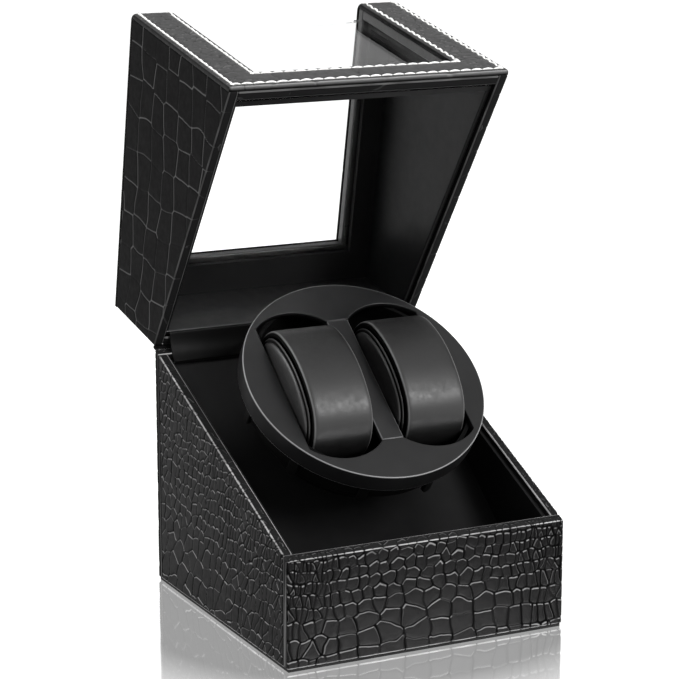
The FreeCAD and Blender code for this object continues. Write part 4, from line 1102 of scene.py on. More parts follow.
@dataclass(frozen=True)
class StudioFloor(Finish):
    """White polished floor that mirrors the box faintly, keeps its shadow and glows less near the box, which
    paints shade round it.
    """

    face: Colour = (0.36, 0.36, 0.36)
    # Distances from the middle of the box between which the polish fades, and the glow at both; the weaker
    # glow near the box paints shade round it
    polished: tuple[float, float] = (0.115, 0.2)
    glow: tuple[float, float] = (0.5, 0.97)

    def make(self) -> ShaderSheet:
        """A white floor whose polish fades away from the box and whose glow is weaker near it, which is
        painted shade.

        Returns:
            The finished sheet.
        """
        sheet = ShaderSheet(self.name, Base_Color=self.face, Roughness=0.07, IOR=6.0, Coat_Roughness=0.05,
                            Coat_IOR=4.0, Emission_Color=(1.0, 1.0, 1.0))
        path = sheet.node("ShaderNodeLightPath")
        seen = sheet.sum(path.outputs["Is Camera Ray"], path.outputs["Is Glossy Ray"], "MAXIMUM")
        seen = sheet.sum(seen, path.outputs["Is Transmission Ray"], "MAXIMUM")
        reach = sheet.node("ShaderNodeVectorMath", operation="LENGTH")
        sheet.feed(reach.inputs[0], sheet.place)
        polish = sheet.ramp(reach.outputs["Value"], *self.polished, 1.0, 0.0)
        glow = sheet.ramp(reach.outputs["Value"], *self.polished, *self.glow)
        sheet.set(Specular_IOR_Level=polish, Coat_Weight=polish,
                  Emission_Strength=sheet.sum(seen, glow, "MULTIPLY"))
        return sheet


EMBOSSED = Leather("embossed_leather")
SIDE_EMBOSSED = Leather("side_embossed_leather", roughness=0.44, specular=0.03)
# A darker copy of the leather with almost no reflection, for the lid: painted shade; its pale grooves paint
# highlight lines
SHADED_LID_EMBOSSED = Leather("lid_embossed_leather", face=(0.004, 0.0039, 0.004), pale=(0.006, 0.0059, 0.006),
                       groove=(0.12, 0.12, 0.12), worn=(0.11, 0.11, 0.11), roughness=0.5, specular=0.011)
TRIM = Leather("trim_leather", face=(0.014, 0.0138, 0.014), pale=(0.022, 0.0218, 0.022),
               groove=(0.002, 0.002, 0.002), roughness=0.42, specular=0.5, grain=0.8 * MM)
PILLOW = Leather("pillow_leather", face=(0.005, 0.0049, 0.005), pale=(0.007, 0.0069, 0.007),
                 groove=(0.001, 0.001, 0.001), worn=(0.1, 0.1, 0.1), roughness=0.46, specular=0.5,
                 grain=0.45 * MM, grain_depth=0.008 * MM)
PAD = replace(PILLOW, name="pad_leather", roughness=0.42, specular=0.75)
LINING = Lining("lining")
SATIN_LINING = Lining("satin_lining", specular=0.45)
STRIP_CLOTH = Lining("strip_cloth", face=(0.003, 0.003, 0.003), pale=(0.005, 0.005, 0.005), specular=0.05)
THREAD = Thread("white_thread")
# Pale drum edges: painted highlight, partly wear
BLACK_PLASTIC = Plastic("drum_plastic", worn=(0.25, 0.25, 0.254))
BOWL_PLASTIC = Plastic("bowl_plastic", face=(0.002, 0.002, 0.002), pale=(0.003, 0.003, 0.003),
                       worn=(0.004, 0.004, 0.004), roughness=0.6, specular=0.05)
BRIDGE_PLASTIC = Plastic("bridge_plastic", face=(0.012, 0.012, 0.0124), pale=(0.016, 0.016, 0.0165))
GEAR_PLASTIC = Plastic("gear_plastic", face=(0.62, 0.61, 0.57), pale=(0.72, 0.71, 0.67), roughness=0.4)
CONTROL_PLASTIC = Plastic("control_plastic", face=(0.016, 0.016, 0.017), pale=(0.024, 0.024, 0.025))
LEAD_SHEATH = Plastic("lead_sheath", face=(0.25, 0.02, 0.015), pale=(0.33, 0.03, 0.02), roughness=0.45)
STEEL = Metal("steel")
SCREW_STEEL = Metal("screw_steel", face=(0.5, 0.5, 0.49), pale=(0.66, 0.66, 0.65), roughness=0.22)
HINGE_STEEL = Metal("hinge_steel", face=(0.26, 0.26, 0.255), pale=(0.36, 0.36, 0.35), roughness=0.3)
BRASS = Metal("brass", face=(0.62, 0.42, 0.16), pale=(0.74, 0.53, 0.23))
ACRYLIC = Clear("clear_pane")
BOARD_FIBRE = Fibre("board_fibre")
BASE_FELT = Fibre("base_felt", face=(0.01, 0.01, 0.01), pale=(0.02, 0.02, 0.02), fibre=0.4 * MM)
FLOOR = StudioFloor("studio_floor")

CARRIED_OVER: dict[Finish, tuple[str, ...]] = {
    BOARD_FIBRE: ("bottom_board", "deck_cleats"),
    BASE_FELT: ("base_sheet",),
    LINING: ("deck_panel", "lid_inner_frame"),
    ACRYLIC: ("top_pane", "front_pane"),
    BOWL_PLASTIC: ("drum_bowl", "drum_hub"),
    STEEL: ("gear_plate_screws", "idler_axle", "motor_can", "hub_screws", "drum_shaft", "retaining_ring",
            "hinge_pins"),
    HINGE_STEEL: ("hinge_base_leaves", "hinge_lid_leaves"),
    BRASS: ("deck_bush", "motor_pinion"),
    GEAR_PLASTIC: ("output_gear", "idler_gear", "gear_plate", "gear_plate_standoffs", "board_standoffs"),
    CONTROL_PLASTIC: ("rear_plate", "power_socket", "mode_switch", "mode_knob", "board_parts"),
    CircuitBoard("circuit_board"): ("control_board",),
    LEAD_SHEATH: ("inner_leads",),
}


def wear(piece: bpy.types.Object, finish: Finish) -> None:
    """Gives a piece one finish all over."""
    piece.data.materials.clear()
    piece.data.materials.append(finish.material())


def settle(piece: bpy.types.Object, finish: Finish, body: str, slot: str, *nodes: str) -> bpy.types.Object:
    """Dresses a finished piece and hands it to the body that it moves with.

    Args:
        piece: the piece, with its final mesh.
        finish: finish that it wears.
        body: CAD body that it rides on.
        slot: material slot of the record; not used.
        nodes: CAD nodes that it stands for.

    Returns:
        The piece.
    """
    wear(piece, finish)
    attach(piece, body)
    if nodes:
        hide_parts(*nodes)
    LOG.info("%s on %s: %d faces", piece.name, body, len(piece.data.polygons))
    return piece


# Geometry node trees

class NodeSheet:
    """A geometry node tree with named inputs, which ends in one plain mesh."""

    def __init__(self, name: str, inputs: dict[str, str]) -> None:
        """Starts the tree.

        Args:
            name: name of the tree.
            inputs: socket type of each input after the geometry, by name.
        """
        self.tree = bpy.data.node_groups.new(name, "GeometryNodeTree")
        face = self.tree.interface
        face.new_socket("Geometry", in_out="INPUT", socket_type="NodeSocketGeometry")
        self.sockets = {key: face.new_socket(key, in_out="INPUT", socket_type=f"NodeSocket{kind}").identifier
                        for key, kind in inputs.items()}
        face.new_socket("Geometry", in_out="OUTPUT", socket_type="NodeSocketGeometry")
        self.given = self.tree.nodes.new("NodeGroupInput").outputs

    def node(self, kind: str, settings: dict[str, Any] | None = None,
             inputs: dict[Any, Any] | None = None) -> bpy.types.Node:
        """Adds a node.

        Args:
            kind: the node's type.
            settings: properties to set on it.
            inputs: sockets or values for its inputs, by name or number.

        Returns:
            The node.
        """
        made = self.tree.nodes.new(kind)
        for key, value in (settings or {}).items():
            setattr(made, key, value)
        for key, value in (inputs or {}).items():
            if isinstance(value, bpy.types.NodeSocket):
                self.tree.links.new(value, made.inputs[key])
            else:
                made.inputs[key].default_value = value
        return made

    def math(self, how: str, first: Any, second: Any) -> bpy.types.NodeSocket:
        """Two values joined by a kind of arithmetic."""
        return self.node("ShaderNodeMath", {"operation": how}, {0: first, 1: second}).outputs[0]

    def vector(self, x: Any, y: Any, z: Any) -> bpy.types.NodeSocket:
        """A vector from three values."""
        return self.node("ShaderNodeCombineXYZ", None, {0: x, 1: y, 2: z}).outputs[0]

    def end(self, instances: bpy.types.NodeSocket) -> None:
        """Closes the tree: real geometry, smooth, in the given material.

        Args:
            instances: the instances that the tree has placed.
        """
        real = self.node("GeometryNodeRealizeInstances", None, {0: instances})
        smooth = self.node("GeometryNodeSetShadeSmooth", None, {0: real.outputs[0]})
        dressed = self.node("GeometryNodeSetMaterial", None,
                            {0: smooth.outputs[0], "Material": self.given["Material"]})
        output = self.tree.nodes.new("NodeGroupOutput")
        self.tree.links.new(dressed.outputs[0], output.inputs[0])

    def grow(self, guide: bpy.types.Object, **values: Any) -> bpy.types.Object:
        """Runs the tree on a guide, which becomes the plain result.

        Args:
            guide: object whose geometry the tree takes.
            values: the tree's inputs, with _ for spaces.

        Returns:
            The guide, with the result as its own mesh.
        """
        modifier = guide.modifiers.new("grow", "NODES")
        modifier.node_group = self.tree
        for key, value in values.items():
            modifier[self.sockets[key.replace("_", " ")]] = value
        apply_modifiers(guide)
        close_mesh(guide)
        return guide


def point_guide(name: str, points: np.ndarray, facing: np.ndarray,
                edges: Sequence[tuple[int, int]] = ()) -> bpy.types.Object:
    """A guide for a node tree: points or lines that know which way the surface faces.

    Args:
        name: name of the piece that grows from it.
        points: places, in the shared frame.
        facing: surface direction at each place.
        edges: pairs of points that form lines.

    Returns:
        The guide object.
    """
    mesh = bpy.data.meshes.new(name)
    mesh.from_pydata(points.tolist(), list(edges), [])
    layer = mesh.attributes.new("facing", "FLOAT_VECTOR", "POINT")
    layer.data.foreach_set("vector", np.ascontiguousarray(facing, np.float32).ravel())
    return new_object(name, mesh)


def stitch_tree() -> NodeSheet:
    """Stitches along lines: short arched pieces of thread that dip into the leather at both ends.

    Returns:
        The tree.
    """
    sheet = NodeSheet("stitch_rows", {"Pitch": "Float", "Length": "Float", "Thickness": "Float",
                                      "Bow": "Float", "Material": "Material"})
    given = sheet.given
    lines = sheet.node("GeometryNodeMeshToCurve", None, {0: given["Geometry"]})
    even = sheet.node("GeometryNodeResampleCurve", {"mode": "LENGTH"},
                      {"Curve": lines.outputs[0], "Length": given["Pitch"]})
    half = sheet.math("MULTIPLY", given["Length"], 0.5)
    dip = sheet.math("MULTIPLY", given["Thickness"], -0.55)
    lift = sheet.math("MULTIPLY", given["Thickness"], 1.1)
    arch = sheet.node("GeometryNodeCurveQuadraticBezier", None, {
        "Resolution": 6,
        "Start": sheet.vector(sheet.math("MULTIPLY", half, -1.0), 0.0, dip),
        "Middle": sheet.vector(0.0, given["Bow"], lift),
        "End": sheet.vector(half, 0.0, dip)})
    ring = sheet.node("GeometryNodeCurvePrimitiveCircle", None, {
        "Resolution": 7, "Radius": sheet.math("MULTIPLY", given["Thickness"], 0.5)})
    thread = sheet.node("GeometryNodeCurveToMesh", None, {
        "Curve": arch.outputs[0], "Profile Curve": ring.outputs[0], "Fill Caps": True})
    facing = sheet.node("GeometryNodeInputNamedAttribute", {"data_type": "FLOAT_VECTOR"}, {"Name": "facing"})
    tangent = sheet.node("GeometryNodeInputTangent")
    along = sheet.node("FunctionNodeAlignRotationToVector", {"axis": "X"}, {"Vector": tangent.outputs[0]})
    upright = sheet.node("FunctionNodeAlignRotationToVector", {"axis": "Z", "pivot_axis": "X"},
                         {"Rotation": along.outputs[0], "Vector": facing.outputs[0]})
    placed = sheet.node("GeometryNodeInstanceOnPoints", None, {
        "Points": even.outputs[0], "Instance": thread.outputs[0], "Rotation": upright.outputs[0]})
    sheet.end(placed.outputs[0])
    return sheet


# Sub-assemblies

@dataclass
class BaseBox:
    """The lower box: four leather walls and four liners."""

    edge: float = 0.8 * MM
    liner_edge: float = 0.5 * MM
    wall_step: float = 0.33 * MM
    side_step: float = 0.47 * MM
    front_scales: Scales = Scales(
        seed=11,
        cells=((0.0, 3.8 * MM), (0.018, 5.0 * MM), (0.032, 9.5 * MM), (0.055, 14 * MM),
               (0.1, 13.5 * MM), (0.12, 8 * MM), (0.134, 4.4 * MM), (0.152, 3.6 * MM)),
        rows=((0.0, 10 * MM), (0.018, 9.5 * MM), (0.028, 7.0 * MM), (0.04, 5.6 * MM), (0.056, 5.0 * MM)),
        crowding=((0.0, 1.0), (0.02, 1.0), (0.026, 1.4), (0.036, 1.9), (0.056, 2.3)),
        stagger=((0.0, 0.0), (0.022, 0.0), (0.028, 1.0)), scatter=(0.4, 0.3), width=0.4 * MM)
    side_scales: Scales = Scales(
        seed=23,
        cells=((0.0, 3.4 * MM), (0.03, 4.6 * MM), (0.07, 7.0 * MM), (0.11, 10 * MM), (0.15, 11 * MM)),
        rows=((0.0, 11 * MM), (0.02, 10 * MM), (0.04, 7.0 * MM), (0.07, 6.0 * MM), (0.125, 5.6 * MM)),
        crowding=((0.0, 1.0), (0.025, 1.0), (0.045, 1.5), (0.08, 2.2), (0.125, 2.6)),
        stagger=((0.0, 0.0), (0.022, 0.0), (0.034, 1.0)), scatter=(0.6, 0.45), lean=0.35,
        depth=0.34 * MM, width=0.36 * MM, dome=0.06 * MM)
    back_scales: Scales = Scales(
        seed=37,
        cells=((0.0, 5.0 * MM), (0.03, 8.0 * MM), (0.075, 13 * MM), (0.12, 8 * MM), (0.152, 5 * MM)),
        rows=((0.0, 11 * MM), (0.06, 10 * MM), (0.125, 8 * MM)),
        crowding=((0.0, 1.0), (0.06, 1.1), (0.125, 1.6)))

    def rim(self, depth: np.ndarray) -> np.ndarray:
        """Height of the sloping rim at a depth."""
        front, back = BASE.box("front_wall")[1], BASE.box("back_wall")[1]
        return front[2] + (depth - front[1]) * (back[2] - front[2]) / (back[1] - front[1])

    def build(self) -> None:
        """Makes and dresses the walls and liners."""
        walls = (("front_wall", Side.FRONT, self.front_scales),
                 ("back_wall", Side.BACK, self.back_scales),
                 ("left_wall", Side.LEFT, self.side_scales),
                 ("right_wall", Side.RIGHT, self.side_scales))
        for node, side, scales in walls:
            step = self.wall_step if side is Side.FRONT else self.side_step
            finish = EMBOSSED if side is Side.FRONT else SIDE_EMBOSSED
            board = Board(node, BASE, side, self.rim, True, self.edge, step, scales)
            settle(board.build(), finish, "base", "embossed_leather", node)
        for node, side in (("front_liner", Side.BACK), ("back_liner", Side.FRONT),
                           ("left_liner", Side.RIGHT), ("right_liner", Side.LEFT)):
            board = Board(node, BASE, side, self.rim, True, self.liner_edge)
            settle(board.build(), LINING, "base", "lining", node)


@dataclass
class LidBox:
    """The lid: three leather walls, the frame boards, the liners and the roll over the hinge line."""

    edge: float = 0.8 * MM
    liner_edge: float = 0.5 * MM
    wall_step: float = 0.48 * MM
    rail_edge: float = 0.9 * MM
    rail_step: float = 0.8 * MM
    tuck: float = 3 * MM
    welt_gap: float = 0.2 * MM
    welt_thickness: float = 2.3 * MM
    welt_height: float = 3.2 * MM
    welt_drop: float = 1.05 * MM
    welt_edge: float = 0.7 * MM
    welt_spans: tuple[tuple[str, float, float], ...] = (
        ("left", -75.6 * MM, -61.5 * MM), ("middle", -28.5 * MM, 28.5 * MM), ("right", 61.5 * MM, 75.6 * MM))
    side_scales: Scales = Scales(
        seed=51, cells=((0.0, 17 * MM), (0.16, 17 * MM)), rows=((0.0, 16 * MM), (0.13, 16 * MM)),
        stagger=((0.0, 0.0),), scatter=(0.3, 0.25), sway=5.0 * MM, sway_length=45 * MM, waver=1.2 * MM,
        waver_length=11 * MM, depth=0.3 * MM, width=0.36 * MM, dome=0.04 * MM, faint=0.8)
    back_scales: Scales = Scales(
        seed=63, cells=((0.0, 12 * MM), (0.15, 12 * MM)), rows=((0.0, 10 * MM), (0.05, 10 * MM)))
    rail_scales: Scales = Scales(
        seed=67, cells=((0.0, 15 * MM), (0.15, 15 * MM)), rows=((0.0, 60 * MM), (0.05, 60 * MM)),
        depth=0.3 * MM, width=0.4 * MM, dome=0.05 * MM)

    def rim(self, depth: np.ndarray) -> np.ndarray:
        """Height of the lid's sloping lower rim.

        Args:
            depth: places from front to back.

        Returns:
            The height at each place.
        """
        front, back = BASE.box("front_wall")[1], BASE.box("back_wall")[1]
        low = LID.box("lid_left_wall")[0]
        return low[2] + (depth - low[1]) * (back[2] - front[2]) / (back[1] - front[1])

    def build(self) -> None:
        """Makes and dresses the walls, frames and liners."""
        walls = (("lid_left_wall", Side.LEFT, self.side_scales),
                 ("lid_right_wall", Side.RIGHT, self.side_scales),
                 ("lid_back_wall", Side.BACK, self.back_scales))
        for node, side, scales in walls:
            board = Board(node, LID, side, self.rim, False, self.edge, self.wall_step, scales)
            settle(board.build(), SHADED_LID_EMBOSSED, "lid", "embossed_leather", node)
        liners = (("lid_left_liner", Side.RIGHT, LINING),
                  ("lid_right_liner", Side.LEFT, LINING),
                  ("lid_back_liner", Side.FRONT, SATIN_LINING))
        for node, side, finish in liners:
            board = Board(node, LID, side, self.rim, False, self.liner_edge)
            settle(board.build(), finish, "lid", "lining", node)
        self.frames()
        self.welts()

    def frames(self) -> None:
        """The boards round the window, under the trim."""
        low, high = LID.box("lid_front_frame")
        rail = Board("lid_front_frame", LID, Side.FRONT, self.rim, False, self.rail_edge, self.rail_step,
                     self.rail_scales, span=(low, (high[0], high[1], WINDOW.low)))
        settle(rail.build(), SHADED_LID_EMBOSSED, "lid", "trim_leather", "lid_front_frame")
        top_low, top_high = LID.box("lid_top_frame")
        back = Board("lid_top_frame", LID, Side.BACK, np.zeros_like, False,
                     span=((-WINDOW.half - self.tuck, WINDOW.back, top_low[2]),
                           (WINDOW.half + self.tuck, top_high[1], top_high[2])))
        settle(back.build(), TRIM, "lid", "trim_leather", "lid_top_frame")
        for name, side, near, far in (("left", Side.LEFT, low[0], -WINDOW.half),
                                      ("right", Side.RIGHT, WINDOW.half, high[0])):
            front_span = ((near, low[1], WINDOW.low - self.tuck), (far, high[1], high[2]))
            top_span = ((near, top_low[1], top_low[2]), (far, top_high[1], top_high[2]))
            for node, facing, span in (("lid_front_frame", Side.FRONT, front_span),
                                       ("lid_top_frame", side, top_span)):
                arm = Board(node, LID, facing, np.zeros_like, False, span=span, label=f"{name}_arm")
                settle(arm.build(), TRIM, "lid", "trim_leather")

    def welts(self) -> None:
        """A leather roll along the back edge that closes the hinge line beside and between the hinges."""
        face = BASE.box("back_wall")[1][1] + self.welt_gap
        foot = joint("lid_hinge")["pos_m"][2] - self.welt_drop
        for name, near, far in self.welt_spans:
            span = ((near, face, foot), (far, face + self.welt_thickness, foot + self.welt_height))
            welt = Board("lid_back_wall", LID, Side.BACK, np.zeros_like, False, self.welt_edge, span=span,
                         label=f"{name}_welt")
            settle(welt.build(), SHADED_LID_EMBOSSED, "lid", "embossed_leather")


@dataclass
class StitchedTrim:
    """The leather trim over the front and top of the lid, with two rows of stitches round the window."""

    fold: float = 5 * MM
    thickness: float = 3 * MM
    edge: float = 1.3 * MM
    step: float = 1.0 * MM
    outer_row: float = 2.9 * MM
    inner_row: float = 2.4 * MM
    valley: float = 0.3 * MM
    valley_width: float = 0.9 * MM
    calm_width: float = 4 * MM
    # Width of the painted shade along the trim's sides and round the window
    shaded_flank_width: float = 0.4 * MM
    corner_gap: float = 1.2 * MM
    guide_step: float = 1.5 * MM
    stitch_pitch: float = 6.0 * MM
    stitch_length: float = 5.9 * MM
    stitch_thickness: float = 1.1 * MM
    stitch_bow: float = 0.9 * MM
    creases: Scales = Scales(
        seed=71, cells=((0.0, 5 * MM), (0.3, 5 * MM)), rows=((0.0, 5 * MM), (0.3, 5 * MM)),
        scatter=(0.9, 0.9), sway=3 * MM, sway_length=14 * MM, depth=0.1 * MM, width=0.36 * MM,
        dome=0.02 * MM)
    folds: Scales = Scales(
        seed=77, cells=((0.0, 17 * MM), (0.3, 17 * MM)), rows=((0.0, 90 * MM), (0.4, 90 * MM)),
        sway=1.0 * MM, depth=0.3 * MM, width=0.5 * MM, dome=0.1 * MM)
    low: np.ndarray = field(init=False)
    high: np.ndarray = field(init=False)

    def __post_init__(self) -> None:
        """Reads the trim's box from the frame."""
        self.low, self.high = LID.box("stitched_trim")

    @property
    def rise(self) -> float:
        """Length of the flat front, up to the fold."""
        return self.high[2] - self.fold - self.low[2]

    @property
    def length(self) -> float:
        """Length of the whole trim laid flat."""
        return self.rise + self.fold * math.pi / 2 + self.high[1] - self.low[1] - self.fold

    def lay(self, x: np.ndarray, s: np.ndarray, height: np.ndarray,
            under: bool = False) -> tuple[np.ndarray, np.ndarray]:
        """Folds flat places over the lid's front edge.

        Args:
            x: places across.
            s: places along the trim, from its front foot to its back edge.
            height: height over the outer surface.
            under: whether the trim's underside is asked for.

        Returns:
            Points and surface directions, as drawn with the lid shut.
        """
        bend = self.fold * math.pi / 2
        angle = np.clip((s - self.rise) / self.fold, 0, math.pi / 2)
        y = self.low[1] + self.fold * (1 - np.cos(angle)) + np.maximum(s - self.rise - bend, 0)
        z = self.low[2] + np.minimum(s, self.rise) + self.fold * np.sin(angle)
        normal = np.stack([np.zeros_like(x), -np.cos(angle), np.sin(angle)], -1)
        inner = self.fold - self.thickness
        reach = inner / np.maximum(np.cos(angle), np.sin(angle))
        sunk = np.where((angle > 0) & (angle < math.pi / 2), reach - self.fold, -self.thickness)
        offset = sunk if under else height
        return np.stack([x, y, z], -1) + normal * offset[..., None], normal

    def border(self, x: np.ndarray, s: np.ndarray) -> tuple[np.ndarray, np.ndarray]:
        """Distances to the outer border and to the window.

        Args:
            x: places across.
            s: places along the trim.

        Returns:
            The two distances.
        """
        outer = np.minimum(self.high[0] - np.abs(x), np.minimum(s, self.length - s))
        start, end = self.window_span()
        side = np.abs(x) - WINDOW.half
        end_gap = np.maximum(start - s, s - end)
        window = np.hypot(np.maximum(side, 0), np.maximum(end_gap, 0))
        return outer, window

    def window_span(self) -> tuple[float, float]:
        """Where the window starts and ends along the trim."""
        bend = self.fold * (math.pi / 2 - 1)
        return WINDOW.low - self.low[2], self.rise + bend + WINDOW.back - self.low[1]

    def build(self) -> None:
        """Makes and dresses the trim and its stitches."""
        start, end = self.window_span()
        half = self.high[0]
        across = np.concatenate([graded(-half, -WINDOW.half, self.step, self.edge),
                                 graded(-WINDOW.half, WINDOW.half, self.step, self.edge)[1:],
                                 graded(WINDOW.half, half, self.step, self.edge)[1:]])
        along = np.concatenate([graded(0.0, start, self.step, self.edge),
                                graded(start, end, self.step, self.edge)[1:],
                                graded(end, self.length, self.step, self.edge)[1:]])
        s, x = np.meshgrid(along, across, indexing="ij")
        outer, window = self.border(x, s)
        nearest = np.minimum(outer, window)
        inward = np.clip(self.edge - nearest, 0, self.edge)
        height = np.sqrt(self.edge ** 2 - inward ** 2) - self.edge
        for row, distance in ((self.outer_row, outer), (self.inner_row, window)):
            height = height - self.valley * np.exp(-((distance - row) / self.valley_width) ** 2)
        creased, groove, worn = self.creases.press(x + half, s)
        calm = np.clip((np.abs(x) - WINDOW.half) / self.calm_width, 0.2, 1)
        folded, fold_groove_shading, fold_wear_and_highlight = self.folds.press(x + half, s)
        height = height + creased * calm + folded * (1 - calm)
        # Groove shading paints shade in the creases; the pale mark paints highlight on their lips, partly
        # wear
        groove = 0.5 * (groove * calm + fold_groove_shading * (1 - calm))
        worn = 0.4 * (worn * calm + fold_wear_and_highlight * (1 - calm))
        # A pale line along every edge: painted highlight
        worn = np.maximum(worn, 0.3 * np.exp(-((nearest - 0.2 * MM) / (0.3 * MM)) ** 2))
        # Painted shade along the trim's sides and round the window
        flank = np.minimum(half - np.abs(x), window)
        groove = np.maximum(groove, np.exp(-(flank / self.shaded_flank_width) ** 2))
        top, _ = self.lay(x, s, height)
        bottom, _ = self.lay(x, s, height, under=True)
        draft = MeshDraft()
        upper = draft.add(top, groove=groove, worn=worn)
        # The underside is shaded all over: painted shade
        lower = draft.add(bottom, groove=np.ones_like(groove))
        beside = np.abs(across[:-1] + across[1:]) / 2
        over = (along[:-1] + along[1:]) / 2
        kept = ~((beside < WINDOW.half)[None] & ((over > start) & (over < end))[:, None])
        for table, flip in ((upper, False), (lower, True)):
            quads = np.stack([table[:-1, :-1], table[:-1, 1:], table[1:, 1:], table[1:, :-1]], -1)[kept]
            draft.join((quads[:, ::-1] if flip else quads).tolist())
        draft.join(self.skirt(upper, lower, kept))
        trim = draft.build("stitched_trim_leather", LID)
        settle(trim, TRIM, "lid", "trim_leather", "stitched_trim")
        self.sew()

    def skirt(self, upper: np.ndarray, lower: np.ndarray, kept: np.ndarray) -> list[list[int]]:
        """Faces that close the edges between the two surfaces.

        Args:
            upper: point numbers of the outer surface.
            lower: point numbers of the underside.
            kept: which cells of the table are leather.

        Returns:
            The faces.
        """
        padded = np.pad(kept, 1)
        faces = []
        for row, column in zip(*np.nonzero(padded[1:, 1:-1] != padded[:-1, 1:-1])):
            faces.append([upper[row, column], upper[row, column + 1],
                          lower[row, column + 1], lower[row, column]])
        for row, column in zip(*np.nonzero(padded[1:-1, 1:] != padded[1:-1, :-1])):
            faces.append([upper[row, column], upper[row + 1, column],
                          lower[row + 1, column], lower[row, column]])
        return [[int(number) for number in face] for face in faces]

    def sew(self) -> None:
        """Grows the stitches along both rows."""
        start, end = self.window_span()
        half = self.high[0] - self.outer_row
        inner = WINDOW.half + self.inner_row
        first, last = self.outer_row, self.length - self.outer_row
        near, far = start - self.inner_row, end + self.inner_row
        gap = self.corner_gap
        rows = []
        for side, low, high in ((half, first, last), (inner, near, far)):
            rows += [((-side, low + gap), (-side, high - gap)), ((side, high - gap), (side, low + gap)),
                     ((side - gap, low), (gap - side, low)), ((gap - side, high), (side - gap, high))]
        points, facing, edges = [], [], []
        for begin, finish in rows:
            count = int(math.dist(begin, finish) / self.guide_step)
            x = np.linspace(begin[0], finish[0], count)
            s = np.linspace(begin[1], finish[1], count)
            place, normal = self.lay(x, s, np.full(count, -0.5 * self.valley))
            base = sum(len(part) for part in points)
            points.append(LID.lay(place))
            facing.append(LID.turn(normal))
            edges += [(base + step, base + step + 1) for step in range(count - 1)]
        guide = point_guide("trim_stitches", np.vstack(points), np.vstack(facing), edges)
        stitches = stitch_tree().grow(guide, Pitch=self.stitch_pitch, Length=self.stitch_length,
                                      Thickness=self.stitch_thickness, Bow=self.stitch_bow,
                                      Material=THREAD.material())
        settle(stitches, THREAD, "lid", "trim_leather")


def planted_tree() -> NodeSheet:
    """Copies of a small part on points: its x axis along the facing, its z axis along one direction.

    Each copy may be turned about its x axis by a share of Turn, in radians.

    Returns:
        The tree.
    """
    sheet = NodeSheet("planted_parts", {"Part": "Object", "Upright": "Vector", "Turn": "Float",
                                        "Material": "Material"})
    given = sheet.given
    part = sheet.node("GeometryNodeObjectInfo", None, {"Object": given["Part"]})
    facing = sheet.node("GeometryNodeInputNamedAttribute", {"data_type": "FLOAT_VECTOR"}, {"Name": "facing"})
    along = sheet.node("FunctionNodeAlignRotationToVector", {"axis": "X"}, {"Vector": facing.outputs[0]})
    upright = sheet.node("FunctionNodeAlignRotationToVector", {"axis": "Z", "pivot_axis": "X"},
                         {"Rotation": along.outputs[0], "Vector": given["Upright"]})
    placed = sheet.node("GeometryNodeInstanceOnPoints", None, {
        "Points": given["Geometry"], "Instance": part.outputs["Geometry"], "Rotation": upright.outputs[0]})
    angle = sheet.node("FunctionNodeRandomValue", {"data_type": "FLOAT"}, {"Seed": 5, 3: given["Turn"]})
    turned = sheet.node("GeometryNodeRotateInstances", None, {
        "Instances": placed.outputs[0], "Rotation": sheet.vector(angle.outputs[1], 0.0, 0.0)})
    sheet.end(turned.outputs[0])
    return sheet


def circle(radius: float, count: int, clockwise: bool = False) -> np.ndarray:
    """Points of a circle round the origin.

    Args:
        radius: radius of the circle.
        count: number of points.
        clockwise: whether the points run clockwise.

    Returns:
        The points.
    """
    angle = np.linspace(0, 2 * math.pi, count, endpoint=False) * (-1 if clockwise else 1)
    return radius * np.stack([np.cos(angle), np.sin(angle)], 1)


def arc_between(start: Sequence[float], end: Sequence[float], rise: float, count: int) -> np.ndarray:
    """Points of an arc over a chord, without its last point.

    Args:
        start: first point.
        end: last point.
        rise: height of the arc, to the left of the chord.
        count: number of steps.

    Returns:
        The points.
    """
    first, last = np.array(start), np.array(end)
    half = np.linalg.norm(last - first) / 2
    ahead = (last - first) / (2 * half)
    left = np.array([-ahead[1], ahead[0]])
    radius = (half ** 2 + rise ** 2) / (2 * abs(rise))
    sweep = math.asin(half / radius)
    angle = np.linspace(-sweep, sweep, count, endpoint=False)
    bow = (radius * np.cos(angle) - radius * math.cos(sweep)) * math.copysign(1, rise)
    middle = (first + last) / 2
    return middle + np.outer(radius * np.sin(angle), ahead) + np.outer(bow, left)


